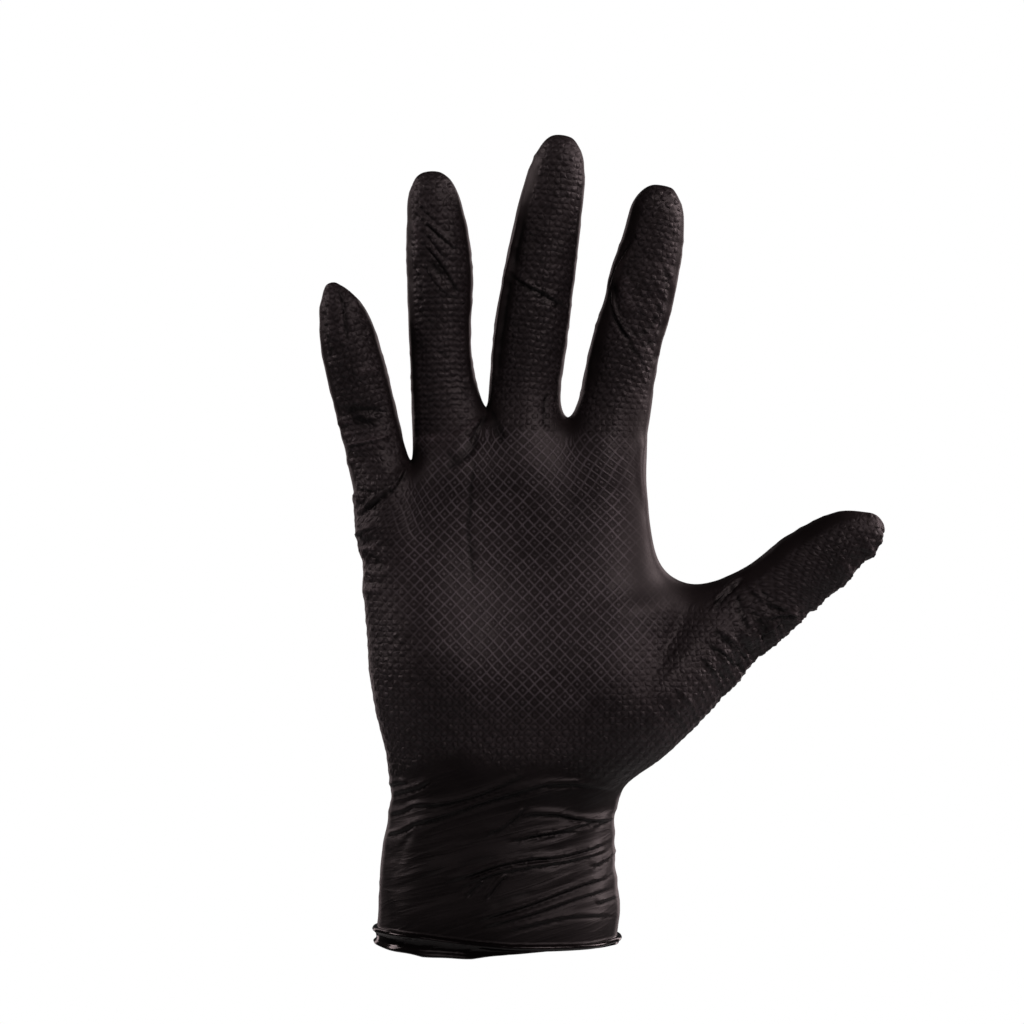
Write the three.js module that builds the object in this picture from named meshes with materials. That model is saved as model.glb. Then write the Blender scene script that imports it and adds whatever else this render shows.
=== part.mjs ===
import * as THREE from 'three';

// A thin nitrile exam glove in its worn form, one dipped piece with a rolled bead round its mouth.
// Lengths are millimetres. The palm faces -Y, the fingers point to +Z and the thumb to +X.
// The origin is the centre of the wrist opening.

// Driving dimensions
const cuffLength = 45.2; // mouth to wrist line
const palmLength = 109.4; // wrist line to the web between ring and middle finger
const openingBreadth = 70.4;
const openingDepth = 50;
const wristBreadth = 68.2;
const wristDepth = 42;
const palmBreadth = 85; // across the roots of the four fingers
const heelDepth = 36; // thickness of the palm level with the thumb's web
const knuckleDepth = 26; // thickness at the finger roots
const webThickness = 13; // between two fingers
const webDrop = 4; // how far a web's crest stands above its foot
const thumbWebThickness = 15;
const thumbWebDrop = 4.5;
const thumbRootDepth = 25;
const rootBlend = 13; // length over which a digit leaves the palm's form
const wall = 1;
const beadHeight = 6.2; // where the rolled edge is deepest
const beadBulge = 1.4;
const rimLevel = 1.1; // height of the rim's lower edge at both sides
const rimDip = 2.2; // the rim hangs this much lower towards the palm
const foldDepth = 1.5;
const foldWidth = 3;

// Digits: length from root to tip, breadth and thickness at the fullest place, and how far the tip comes forward
const pinkyLength = 58.8;
const pinkyWidth = 18;
const pinkyThickness = 16.4;
const pinkyRise = 7;
const ringLength = 78.4;
const ringWidth = 19.5;
const ringThickness = 17.6;
const ringRise = 6;
const middleLength = 82;
const middleWidth = 21.5;
const middleThickness = 18.6;
const middleRise = 8;
const indexLength = 71.2;
const indexWidth = 21;
const indexThickness = 18.6;
const indexRise = 8;
const thumbLength = 55;
const thumbWidth = 24;
const thumbThickness = 20.5;
const thumbRise = 9;

// Shares that hold at any size
const edgeFoldShare = 0.45; // folds are this much shallower where they cross an edge

// Mesh density
const columnsPerDigit = 4;
const sideSteps = 2;
const cuffRows = 13;
const lowerRows = 10;
const upperRows = 9;

// Digits: rootX and rootZ are shares of the palm's breadth and length, lean is degrees from +Z towards +X.
// Sections are shares of the length and of the width.
const digitTable = [
  {
    name: 'pinky', length: pinkyLength, width: pinkyWidth, thickness: pinkyThickness,
    lean: -13.1, rise: pinkyRise, rows: 12,
    rootX: -0.386, rootZ: 0.832,
    sections: [
      { along: 0, width: 1, shift: -0.02 }, { along: 0.1, width: 0.99, shift: -0.055 },
      { along: 0.3, width: 0.985, shift: -0.07 }, { along: 0.5, width: 0.995, shift: -0.07 },
      { along: 0.7, width: 0.95, shift: -0.08 }, { along: 0.8, width: 0.85, shift: -0.065 },
      { along: 0.9, width: 0.705, shift: -0.08 }, { along: 0.95, width: 0.54, shift: -0.09 },
      { along: 1, width: 0.24, shift: -0.1 },
    ],
  },
  {
    name: 'ring', length: ringLength, width: ringWidth, thickness: ringThickness,
    lean: -2.7, rise: ringRise, rows: 15,
    rootX: -0.169, rootZ: 0.933,
    sections: [
      { along: 0, width: 1.12, shift: 0 }, { along: 0.1, width: 1.1, shift: 0 },
      { along: 0.2, width: 1, shift: -0.05 }, { along: 0.3, width: 0.945, shift: -0.06 },
      { along: 0.4, width: 0.935, shift: -0.065 }, { along: 0.5, width: 0.98, shift: -0.035 },
      { along: 0.6, width: 1.005, shift: -0.015 }, { along: 0.7, width: 0.99, shift: -0.02 },
      { along: 0.8, width: 0.9, shift: -0.03 }, { along: 0.9, width: 0.795, shift: -0.065 },
      { along: 0.95, width: 0.67, shift: -0.07 }, { along: 1, width: 0.3, shift: -0.08 },
    ],
  },
  {
    name: 'middle', length: middleLength, width: middleWidth, thickness: middleThickness,
    lean: 6.9, rise: middleRise, rows: 16,
    rootX: 0.094, rootZ: 0.997,
    sections: [
      { along: 0, width: 0.98, shift: -0.02 }, { along: 0.1, width: 0.986, shift: -0.065 },
      { along: 0.3, width: 1.03, shift: -0.07 }, { along: 0.5, width: 0.986, shift: -0.05 },
      { along: 0.7, width: 0.9, shift: -0.02 }, { along: 0.8, width: 0.85, shift: 0.005 },
      { along: 0.9, width: 0.745, shift: 0.03 }, { along: 0.95, width: 0.61, shift: 0.03 },
      { along: 1, width: 0.28, shift: 0.03 },
    ],
  },
  {
    name: 'index', length: indexLength, width: indexWidth, thickness: indexThickness,
    lean: 12.5, rise: indexRise, rows: 14,
    rootX: 0.375, rootZ: 0.973,
    sections: [
      { along: 0, width: 1.08, shift: 0.02 }, { along: 0.1, width: 1.02, shift: 0.04 },
      { along: 0.2, width: 1, shift: 0.015 }, { along: 0.4, width: 0.97, shift: 0.005 },
      { along: 0.5, width: 0.943, shift: 0.043 }, { along: 0.6, width: 0.957, shift: 0.033 },
      { along: 0.7, width: 0.914, shift: 0.048 }, { along: 0.8, width: 0.843, shift: 0.052 },
      { along: 0.9, width: 0.77, shift: 0.024 }, { along: 0.95, width: 0.62, shift: 0.02 },
      { along: 1, width: 0.28, shift: 0.02 },
    ],
  },
  {
    name: 'thumb', length: thumbLength, width: thumbWidth, thickness: thumbThickness,
    lean: 58, rise: thumbRise, rows: 11,
    rootX: 0.774, rootZ: 0.431,
    sections: [
      { along: 0, width: 1.2, shift: -0.01 }, { along: 0.1, width: 1.067, shift: 0 },
      { along: 0.2, width: 1.004, shift: -0.01 }, { along: 0.3, width: 0.946, shift: -0.025 },
      { along: 0.4, width: 0.925, shift: -0.054 }, { along: 0.5, width: 0.946, shift: -0.096 },
      { along: 0.6, width: 0.896, shift: -0.112 }, { along: 0.7, width: 0.842, shift: -0.133 },
      { along: 0.8, width: 0.733, shift: -0.15 }, { along: 0.9, width: 0.6, shift: -0.125 },
      { along: 0.95, width: 0.44, shift: -0.105 }, { along: 1, width: 0.2, shift: -0.09 },
    ],
  },
];
const tipStart = 0.965; // share of a digit's length at which its rounded end begins
const sectionPower = 2.15; // 2 is an ellipse, more is squarer
const cornerAngle = 0.52; // where a digit's front ends and its side begins, radians

// Corners of the palm: shares of its breadth from the middle and of its length above the wrist line
const palmCorners = {
  littleRoot: { x: -0.495, z: 0.784 },
  webs: [{ x: -0.293, z: 0.883 }, { x: -0.04, z: 1.006 }, { x: 0.239, z: 0.986 }],
  indexRoot: { x: 0.512, z: 0.949 },
  thumbWeb: { x: 0.656, z: 0.545 },
  thumbFoot: { x: 0.882, z: 0.338 },
};
const thumbWebLevel = 0.5; // where the thumb web's row meets the little finger's edge, share of that edge

// Cuff edges: shares of the cuff's length and of its breadth at that height
const cuffEdges = [
  { up: 0, left: -0.506, right: 0.494 },
  { up: 0.16, left: -0.504, right: 0.51 },
  { up: 0.42, left: -0.5, right: 0.498 },
  { up: 0.68, left: -0.485, right: 0.4935 },
  { up: 0.85, left: -0.47, right: 0.499 },
  { up: 1, left: -0.463, right: 0.537 },
];

// Palm edges: share of the way up, and share of the way from the lower corner's x to the upper one's
const littleEdge = [
  { up: 0, across: 0 }, { up: 0.1375, across: 0.15 }, { up: 0.266, across: 0.44 },
  { up: 0.406, across: 0.63 }, { up: 0.545, across: 0.68 }, { up: 0.685, across: 0.78 },
  { up: 0.81, across: 0.83 }, { up: 0.918, across: 1.03 }, { up: 1, across: 1 },
];
const thumbEdge = [
  { up: 0, across: 0 }, { up: 0.078, across: 0.052 }, { up: 0.238, across: 0.273 },
  { up: 0.395, across: 0.448 }, { up: 0.63, across: 0.669 }, { up: 1, across: 1 },
];
const indexEdge = [
  { up: 0, across: 0 }, { up: 0.052, across: 0.53 }, { up: 0.121, across: 0.68 },
  { up: 0.187, across: 0.78 }, { up: 0.253, across: 0.85 }, { up: 0.385, across: 0.93 },
  { up: 0.7, across: 1.04 }, { up: 1, across: 1 },
];

// Swells and hollows: place and reach are shares of the palm's breadth and length, height of its depth
const swells = [
  { face: -1, x: 0.53, z: 0.27, reachX: 0.24, reachZ: 0.2, height: 0.17 },
  { face: -1, x: -0.27, z: 0.32, reachX: 0.17, reachZ: 0.27, height: 0.1 },
  { face: -1, x: 0.06, z: 0.57, reachX: 0.24, reachZ: 0.22, height: -0.1 },
  { face: -1, x: -0.1, z: 0.86, reachX: 0.34, reachZ: 0.09, height: 0.05 },
  { face: 1, x: -0.33, z: 0.7, reachX: 0.08, reachZ: 0.1, height: 0.06 },
  { face: 1, x: -0.14, z: 0.8, reachX: 0.08, reachZ: 0.1, height: 0.07 },
  { face: 1, x: 0.09, z: 0.85, reachX: 0.08, reachZ: 0.1, height: 0.08 },
  { face: 1, x: 0.34, z: 0.8, reachX: 0.08, reachZ: 0.1, height: 0.07 },
];

// Creases of the cuff and the palm: ends are shares of the breadth and of the length of that region,
// from the wrist line down for the cuff and up for the palm. Depth is negative for a valley.
const sleeveFolds = [
  { region: 'cuff', face: -1, x0: -0.46, z0: 0.18, x1: 0.02, z1: 0.02, depth: -0.8, width: 1.1 },
  { region: 'cuff', face: -1, x0: 0.02, z0: 0.02, x1: 0.52, z1: 0, depth: -0.7, width: 1 },
  { region: 'cuff', face: -1, x0: -0.2, z0: 0.3, x1: 0.5, z1: 0.12, depth: 0.7, width: 1.1 },
  { region: 'cuff', face: -1, x0: -0.2, z0: 0.66, x1: 0.48, z1: 0.3, depth: -0.75, width: 1.1 },
  { region: 'cuff', face: -1, x0: -0.45, z0: 0.62, x1: 0.1, z1: 0.36, depth: 0.55, width: 1.2 },
  { region: 'cuff', face: -1, x0: 0.1, z0: 0.75, x1: 0.52, z1: 0.52, depth: 0.5, width: 1.1 },
  { region: 'cuff', face: -1, x0: 0.34, z0: 0.2, x1: 0.54, z1: 0.1, depth: 0.7, width: 0.9 },
  { region: 'cuff', face: -1, x0: 0.36, z0: 0.46, x1: 0.54, z1: 0.38, depth: 0.6, width: 0.9 },
  { region: 'cuff', face: -1, x0: -0.52, z0: 0.06, x1: -0.36, z1: 0, depth: 0.7, width: 0.9 },
  { region: 'cuff', face: -1, x0: -0.52, z0: 0.34, x1: -0.36, z1: 0.26, depth: 0.7, width: 0.9 },
  { region: 'cuff', face: 1, x0: -0.48, z0: 0.2, x1: 0.48, z1: 0.04, depth: -0.8, width: 1.2 },
  { region: 'cuff', face: 1, x0: -0.4, z0: 0.4, x1: 0.5, z1: 0.26, depth: 0.6, width: 1.2 },
  { region: 'cuff', face: 1, x0: -0.48, z0: 0.66, x1: 0.3, z1: 0.48, depth: -0.6, width: 1.2 },
  { region: 'palm', face: -1, x0: -0.1, z0: 0.9, x1: -0.2, z1: 0.3, depth: -0.45, width: 1 },
  { region: 'palm', face: -1, x0: -0.48, z0: 0.72, x1: -0.3, z1: 0.85, depth: -0.8, width: 1 },
  { region: 'palm', face: -1, x0: -0.5, z0: 0.66, x1: -0.38, z1: 0.7, depth: 0.5, width: 1 },
  { region: 'palm', face: -1, x0: -0.5, z0: 0.58, x1: -0.4, z1: 0.6, depth: -0.6, width: 0.9 },
  { region: 'palm', face: -1, x0: -0.06, z0: 0.98, x1: -0.24, z1: 0.86, depth: -0.8, width: 0.9 },
  { region: 'palm', face: -1, x0: 0.66, z0: 0.44, x1: 0.74, z1: 0.28, depth: -0.45, width: 1.1 },
  { region: 'palm', face: -1, x0: 0.7, z0: 0.5, x1: 0.82, z1: 0.33, depth: 0.5, width: 1 },
  { region: 'palm', face: 1, x0: 0.6, z0: 0.44, x1: 0.74, z1: 0.24, depth: -0.6, width: 1.2 },
];

// Folds of the digits: ends are shares of the length and of the half width, from the thumb's side (+1)
// to the little finger's (-1)
const digitFolds = [
  { name: 'pinky', face: -1, along0: 0.16, across0: -0.9, along1: 0.1, across1: 0.9, depth: -0.7 },
  { name: 'pinky', face: -1, along0: 0.3, across0: -0.9, along1: 0.24, across1: 0.9, depth: 0.6 },
  { name: 'pinky', face: -1, along0: 0.4, across0: -0.9, along1: 0.36, across1: 0.9, depth: -0.6 },
  { name: 'pinky', face: -1, along0: 0.98, across0: -0.3, along1: 0.66, across1: 0.1, depth: -0.6 },
  { name: 'ring', face: -1, along0: 0.08, across0: -0.9, along1: 0.13, across1: 0.9, depth: -0.7 },
  { name: 'ring', face: -1, along0: 0.66, across0: -0.8, along1: 0.5, across1: 0.9, depth: -0.75 },
  { name: 'ring', face: -1, along0: 0.74, across0: -0.7, along1: 0.6, across1: 0.9, depth: 0.6 },
  { name: 'ring', face: -1, along0: 0.86, across0: -0.8, along1: 0.72, across1: 0.4, depth: -0.55 },
  { name: 'ring', face: -1, along0: 0.36, across0: -0.7, along1: 0.3, across1: 0.6, depth: -0.5 },
  { name: 'middle', face: -1, along0: 0.47, across0: -0.2, along1: 0.4, across1: 0.95, depth: -0.8 },
  { name: 'middle', face: -1, along0: 0.53, across0: 0, along1: 0.46, across1: 0.95, depth: 0.5 },
  { name: 'middle', face: -1, along0: 0.2, across0: -0.7, along1: 0.75, across1: -0.6, depth: -0.5 },
  { name: 'index', face: -1, along0: 0.72, across0: -0.5, along1: 0.46, across1: -0.5, depth: -0.7 },
  { name: 'index', face: -1, along0: 0.43, across0: -0.5, along1: 0.4, across1: 0.95, depth: -0.8 },
  { name: 'index', face: -1, along0: 0.66, across0: 0, along1: 0.5, across1: 0.2, depth: 0.7 },
  { name: 'thumb', face: -1, along0: 0.12, across0: -0.9, along1: 0.02, across1: 0.6, depth: -0.8 },
  { name: 'thumb', face: -1, along0: 0.28, across0: -0.9, along1: 0.2, across1: 0.9, depth: 0.6 },
  { name: 'thumb', face: -1, along0: 0.4, across0: -0.9, along1: 0.32, across1: 0.9, depth: -0.7 },
  { name: 'pinky', face: 1, along0: 0.44, across0: -0.9, along1: 0.4, across1: 0.9, depth: -0.6 },
  { name: 'ring', face: 1, along0: 0.47, across0: -0.9, along1: 0.46, across1: 0.9, depth: -0.6 },
  { name: 'middle', face: 1, along0: 0.47, across0: -0.9, along1: 0.48, across1: 0.9, depth: -0.6 },
  { name: 'index', face: 1, along0: 0.44, across0: -0.9, along1: 0.46, across1: 0.9, depth: -0.6 },
  { name: 'thumb', face: 1, along0: 0.42, across0: -0.9, along1: 0.4, across1: 0.9, depth: -0.6 },
];

// Rim: how far its lower edge hangs, and how deep the rolled band is, as shares of the dip and the bead's
// height, across the palm's side and across the back from the little finger's side
const rimPalm = [
  { across: 0, drop: 0.05, band: 0.8 }, { across: 0.2, drop: 0.95, band: 1 },
  { across: 0.4, drop: 0.95, band: 0.8 }, { across: 0.55, drop: 0.45, band: 0.56 },
  { across: 0.7, drop: 0.1, band: 0.42 }, { across: 0.9, drop: 0.1, band: 0.36 },
  { across: 1, drop: 0, band: 0.42 },
];
const rimBack = [
  { across: 0, drop: 0.05, band: 0.8 }, { across: 0.3, drop: -0.3, band: 0.55 },
  { across: 0.7, drop: -0.3, band: 0.45 }, { across: 1, drop: 0, band: 0.42 },
];

// Bead: two rolls, one above the other. Shares of the band's height and of the bulge, from inside to outside
const beadProfile = [
  { up: 0.14, out: -0.55 },
  { up: 0, out: 0.05 },
  { up: 0.08, out: 0.8 },
  { up: 0.3, out: 1 },
  { up: 0.47, out: 0.5 },
  { up: 0.68, out: 0.95 },
  { up: 0.88, out: 0.7 },
];

const mix = THREE.MathUtils.lerp;
const digits = digitTable.map((digit) => {
  const lean = THREE.MathUtils.degToRad(digit.lean);
  return {
    ...digit,
    root: { x: digit.rootX * palmBreadth, z: cuffLength + digit.rootZ * palmLength },
    axis: { x: Math.sin(lean), z: Math.cos(lean) },
    side: { x: Math.cos(lean), z: -Math.sin(lean) },
  };
});

// Reads a table's column at a place, along a smooth curve through its rows
function readTable(rows, key, column, place) {
  let i = 0;
  while (i < rows.length - 2 && place > rows[i + 1][key]) {
    i += 1;
  }
  const span = rows[i + 1][key] - rows[i][key];
  const t = THREE.MathUtils.clamp((place - rows[i][key]) / span, 0, 1);
  return mix(rows[i][column], rows[i + 1][column], t);
}

function mixPoint(a, b, t) {
  return { x: mix(a.x, b.x, t), z: mix(a.z, b.z, t) };
}

function palmPoint(corner) {
  return { x: corner.x * palmBreadth, z: cuffLength + corner.z * palmLength };
}

function arch(t, power) {
  return Math.max(0, 1 - Math.abs(t) ** power) ** (1 / power);
}

// Vertices of the outer skin, each with what the folds need to know about its place
const points = [];
const places = [];
const quads = [];

function addPoint(x, y, z, place) {
  points.push(new THREE.Vector3(x, y, z));
  places.push(place);
  return points.length - 1;
}

function ringOf(loop) {
  return [...loop.front, ...loop.right, ...[...loop.back].reverse(), ...[...loop.left].reverse()];
}

function stitch(lower, upper) {
  const a = ringOf(lower);
  const b = ringOf(upper);
  a.forEach((id, i) => {
    const next = (i + 1) % a.length;
    quads.push([id, a[next], b[next], b[i]]);
  });
}

// A half round path from a front corner over a crest to the back corner
function edgePath(frontId, backId, crest, place) {
  const front = points[frontId];
  const back = points[backId];
  const middle = front.clone().add(back).multiplyScalar(0.5);
  const half = back.clone().sub(front).multiplyScalar(0.5);
  const reach = new THREE.Vector3(crest.x, middle.y, crest.z).sub(middle);
  const path = [];
  for (let k = 1; k < sideSteps; k += 1) {
    const angle = Math.PI * (k / sideSteps - 0.5);
    const p = middle.clone().addScaledVector(reach, Math.cos(angle)).addScaledVector(half, Math.sin(angle));
    path.push(addPoint(p.x, p.y, p.z, { ...place, face: 0 }));
  }
  return path;
}

// One row across the hand: both faces share their x and z, apart from the rim
function sleeveRow(row) {
  const front = [];
  const back = [];
  for (let c = 0; c <= row.columns; c += 1) {
    const near = row.place(c, -1);
    const far = row.place(c, 1);
    front.push(addPoint(near.x, row.middle - row.front(c), near.z, { region: row.region, face: -1 }));
    back.push(addPoint(far.x, row.middle + row.back(c), far.z, { region: row.region, face: 1 }));
  }
  const place = { region: row.region };
  const left = edgePath(front[0], back[0], row.leftCrest, place);
  const right = edgePath(front.at(-1), back.at(-1), row.rightCrest, place);
  return { front, right, back, left };
}

// Place of a column across a row, 0 to 1, with the outermost columns set in from the edge
function acrossOf(c, groups, inset) {
  const g = Math.min(Math.floor(c / columnsPerDigit), groups - 1);
  const start = g === 0 ? inset : g / groups;
  const end = g === groups - 1 ? 1 - inset : (g + 1) / groups;
  return mix(start, end, c / columnsPerDigit - g);
}

const fullColumns = 5 * columnsPerDigit;
const fingerColumns = 4 * columnsPerDigit;
const insets = { cuff: 0.03, thumbWeb: 0.03, knuckles: 0.018 };
const cornerReach = 0.94; // the outermost columns stand this far out on a row's rounded section

// Depth of a face at t, -1 to 1 between the outermost columns. A corner that meets a web has its own depth.
function domed(t, depth, power, leftCorner, rightCorner) {
  const natural = depth * arch(cornerReach, power);
  const corner = (t < 0 ? leftCorner : rightCorner) ?? natural;
  return depth * arch(cornerReach * t, power) + (corner - natural) * t ** 4;
}

// Cuff, from the top of the bead to the wrist line
function rimAt(across, face) {
  const table = face < 0 ? rimPalm : rimBack;
  const band = readTable(table, 'across', 'band', across) * beadHeight;
  const low = rimLevel - readTable(table, 'across', 'drop', across) * rimDip;
  return { band, low, top: low + band };
}

function cuffCorner(v, side) {
  const breadth = mix(openingBreadth, wristBreadth, v);
  return readTable(cuffEdges, 'up', side, v) * breadth;
}

function cuffRow(v) {
  const left = cuffCorner(v, 'left');
  const right = cuffCorner(v, 'right');
  const half = mix(openingDepth, wristDepth, THREE.MathUtils.smoothstep(v, 0, 1)) / 2;
  const height = (across, face) => mix(rimAt(across, face).top, cuffLength, v);
  const depth = (c) => domed((2 * c) / fullColumns - 1, half, 2.1);
  return sleeveRow({
    region: 'cuff',
    columns: fullColumns,
    middle: 0,
    front: depth,
    back: depth,
    place: (c, face) => {
      const u = acrossOf(c, 5, insets.cuff);
      return { x: mix(left, right, u), z: height(u, face) };
    },
    leftCrest: { x: left, z: height(0, 1) },
    rightCrest: { x: right, z: height(1, 1) },
  });
}

// Palm, from the wrist line to the row of the thumb's web
const wristLeft = { x: cuffCorner(1, 'left'), z: cuffLength };
const wristRight = { x: cuffCorner(1, 'right'), z: cuffLength };
const littleRoot = palmPoint(palmCorners.littleRoot);
const indexRoot = palmPoint(palmCorners.indexRoot);
const webCrests = palmCorners.webs.map(palmPoint);
const thumbWeb = palmPoint(palmCorners.thumbWeb);
const thumbFoot = palmPoint(palmCorners.thumbFoot);

function alongEdge(table, from, to, v) {
  return { x: mix(from.x, to.x, readTable(table, 'up', 'across', v)), z: mix(from.z, to.z, v) };
}

const thumbWebLeft = alongEdge(littleEdge, wristLeft, littleRoot, thumbWebLevel);
const thumbWebFront = { x: thumbWeb.x, z: thumbWeb.z - thumbWebDrop };

function thumbWebLine(u) {
  return u < 0.8
    ? mixPoint(thumbWebLeft, thumbWebFront, u / 0.8)
    : mixPoint(thumbWebFront, thumbFoot, (u - 0.8) / 0.2);
}

function lowerRow(v) {
  const left = alongEdge(littleEdge, wristLeft, littleRoot, v * thumbWebLevel);
  const right = alongEdge(thumbEdge, wristRight, thumbFoot, v);
  const straightLeft = mixPoint(wristLeft, thumbWebLeft, v);
  const straightRight = mixPoint(wristRight, thumbFoot, v);
  const inset = mix(insets.cuff, insets.thumbWeb, v);
  const split = THREE.MathUtils.smoothstep(v, 0.3, 1);
  const depthOf = (share) => (c) => {
    const t = (2 * c) / fullColumns - 1;
    const body = mix(wristDepth, heelDepth, v) * share;
    const whole = domed(t, body, mix(2.1, 2.5, v));
    const inThumb = c > fingerColumns;
    const web = thumbWebThickness / 2;
    const parted = inThumb
      ? domed((2 * (c - fingerColumns)) / columnsPerDigit - 1, thumbRootDepth * share, 2.2, web)
      : domed((2 * c) / fingerColumns - 1, body, 2.5, undefined, web);
    return mix(whole, parted, split);
  };
  return sleeveRow({
    region: 'palm',
    columns: fullColumns,
    middle: 0,
    front: depthOf(mix(0.5, 0.54, v)),
    back: depthOf(mix(0.5, 0.46, v)),
    place: (c) => {
      const u = acrossOf(c, 5, inset);
      const base = mixPoint(mixPoint(wristLeft, wristRight, u), thumbWebLine(u), v);
      return {
        x: base.x + mix(left.x - straightLeft.x, right.x - straightRight.x, u),
        z: base.z + mix(left.z - straightLeft.z, right.z - straightRight.z, u),
      };
    },
    leftCrest: left,
    rightCrest: right,
  });
}

// Palm, from the thumb's web to the finger roots
const knuckleLine = [
  littleRoot,
  ...webCrests.map((web) => ({ x: web.x, z: web.z - webDrop })),
  indexRoot,
];

function knucklePlace(c) {
  const u = acrossOf(c, 4, insets.knuckles) * 4;
  const g = Math.min(Math.floor(u), 3);
  return mixPoint(knuckleLine[g], knuckleLine[g + 1], u - g);
}

function upperRow(v, start) {
  const left = alongEdge(littleEdge, wristLeft, littleRoot, mix(thumbWebLevel, 1, v));
  const right = alongEdge(indexEdge, thumbWeb, indexRoot, v);
  const straightLeft = mixPoint(thumbWebLeft, littleRoot, v);
  const straightRight = mixPoint(thumbWeb, indexRoot, v);
  const split = THREE.MathUtils.smoothstep(v, 0.45, 1);
  const depthOf = (share) => (c) => {
    const body = mix(heelDepth, knuckleDepth, v) * share;
    const rightDepth = mix(thumbWebThickness / 2, body * arch(cornerReach, 2.5), v);
    const whole = domed((2 * c) / fingerColumns - 1, body, 2.5, undefined, rightDepth);
    const g = Math.min(Math.floor(c / columnsPerDigit), 3);
    const web = webThickness / 2;
    const t = 2 * (c / columnsPerDigit - g) - 1;
    const parted = domed(t, body, 2.2, g === 0 ? undefined : web, g === 3 ? undefined : web);
    return mix(whole, parted, split);
  };
  return sleeveRow({
    region: 'palm',
    columns: fingerColumns,
    middle: 0,
    front: depthOf(mix(0.54, 0.52, v)),
    back: depthOf(mix(0.46, 0.48, v)),
    place: (c) => {
      const below = points[start.front[c]];
      const base = mixPoint(below, knucklePlace(c), v);
      const u = c / fingerColumns;
      return {
        x: base.x + mix(left.x - straightLeft.x, right.x - straightRight.x, u),
        z: base.z + mix(left.z - straightLeft.z, right.z - straightRight.z, u),
      };
    },
    leftCrest: left,
    rightCrest: right,
  });
}

// A digit's cross-section, -1 to 1 each way, in the order of a loop's lists
function unitSection() {
  const reach = Math.cos(cornerAngle);
  const face = (sign) => Array.from({ length: columnsPerDigit + 1 }, (_, c) => {
    const x = reach * ((2 * c) / columnsPerDigit - 1);
    return { x, y: sign * arch(x, sectionPower), face: sign };
  });
  const edge = (sign) => Array.from({ length: sideSteps - 1 }, (_, k) => {
    const angle = Math.PI * ((k + 1) / sideSteps - 0.5);
    const rise = arch(reach, sectionPower);
    return { x: sign * mix(reach, 1, Math.cos(angle)), y: Math.sin(angle) * rise, face: 0 };
  });
  return { front: face(-1), right: edge(1), back: face(1), left: edge(-1) };
}

function onDigit(digit, along, spot) {
  const share = along / digit.length;
  const width = readTable(digit.sections, 'along', 'width', share);
  const shift = readTable(digit.sections, 'along', 'shift', share) * digit.width;
  const across = shift + (spot.x * width * digit.width) / 2;
  const bend = THREE.MathUtils.clamp(share, 0, 1) ** 1.6;
  return new THREE.Vector3(
    digit.root.x + digit.axis.x * along + digit.side.x * across,
    (spot.y * width * digit.thickness) / 2 - digit.rise * bend,
    digit.root.z + digit.axis.z * along + digit.side.z * across,
  );
}

function growDigit(digit, rootLoop) {
  const section = unitSection();
  const end = tipStart * digit.length;
  const feet = {};
  for (const part of ['front', 'right', 'back', 'left']) {
    feet[part] = rootLoop[part].map((id, i) => {
      const p = points[id];
      const along = (p.x - digit.root.x) * digit.axis.x + (p.z - digit.root.z) * digit.axis.z;
      return { along, off: p.clone().sub(onDigit(digit, along, section[part][i])) };
    });
  }
  let below = rootLoop;
  for (let row = 1; row <= digit.rows; row += 1) {
    const loop = {};
    for (const part of ['front', 'right', 'back', 'left']) {
      loop[part] = feet[part].map((foot, i) => {
        const spot = section[part][i];
        const along = mix(foot.along, end, row / digit.rows);
        const fade = 1 - THREE.MathUtils.smoothstep(along - foot.along, 0, rootBlend);
        const p = onDigit(digit, along, spot).addScaledVector(foot.off, fade);
        const place = { region: digit.name, face: spot.face, along: along / digit.length, across: spot.x };
        return addPoint(p.x, p.y, p.z, place);
      });
    }
    stitch(below, loop);
    below = loop;
  }
  closeTip(digit, below);
}

// A domed end: a small grid that fills the last ring
function closeTip(digit, loop) {
  const left = [loop.front[0], ...loop.left, loop.back[0]];
  const right = [loop.front.at(-1), ...loop.right, loop.back.at(-1)];
  const height = (1 - tipStart) * digit.length;
  const grid = left.map((id, j) => loop.front.map((_, i) => {
    if (i === 0) return id;
    if (i === columnsPerDigit) return right[j];
    if (j === 0) return loop.front[i];
    if (j === sideSteps) return loop.back[i];
    const u = i / columnsPerDigit;
    const v = j / sideSteps;
    const p = points[id].clone().lerp(points[right[j]], u);
    const q = points[loop.front[i]].clone().lerp(points[loop.back[i]], v);
    p.lerp(q, 0.5);
    const dome = height * Math.sqrt((1 - (2 * u - 1) ** 2) * (1 - (2 * v - 1) ** 2));
    return addPoint(p.x + digit.axis.x * dome, p.y, p.z + digit.axis.z * dome, {
      region: digit.name, face: 0, along: 1, across: 2 * u - 1,
    });
  }));
  for (let j = 0; j < sideSteps; j += 1) {
    for (let i = 0; i < columnsPerDigit; i += 1) {
      quads.push([grid[j][i], grid[j][i + 1], grid[j + 1][i + 1], grid[j + 1][i]]);
    }
  }
}

function part(loop, from, to, leftPath, rightPath) {
  return {
    front: loop.front.slice(from, to + 1),
    back: loop.back.slice(from, to + 1),
    left: leftPath,
    right: rightPath,
  };
}

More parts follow.
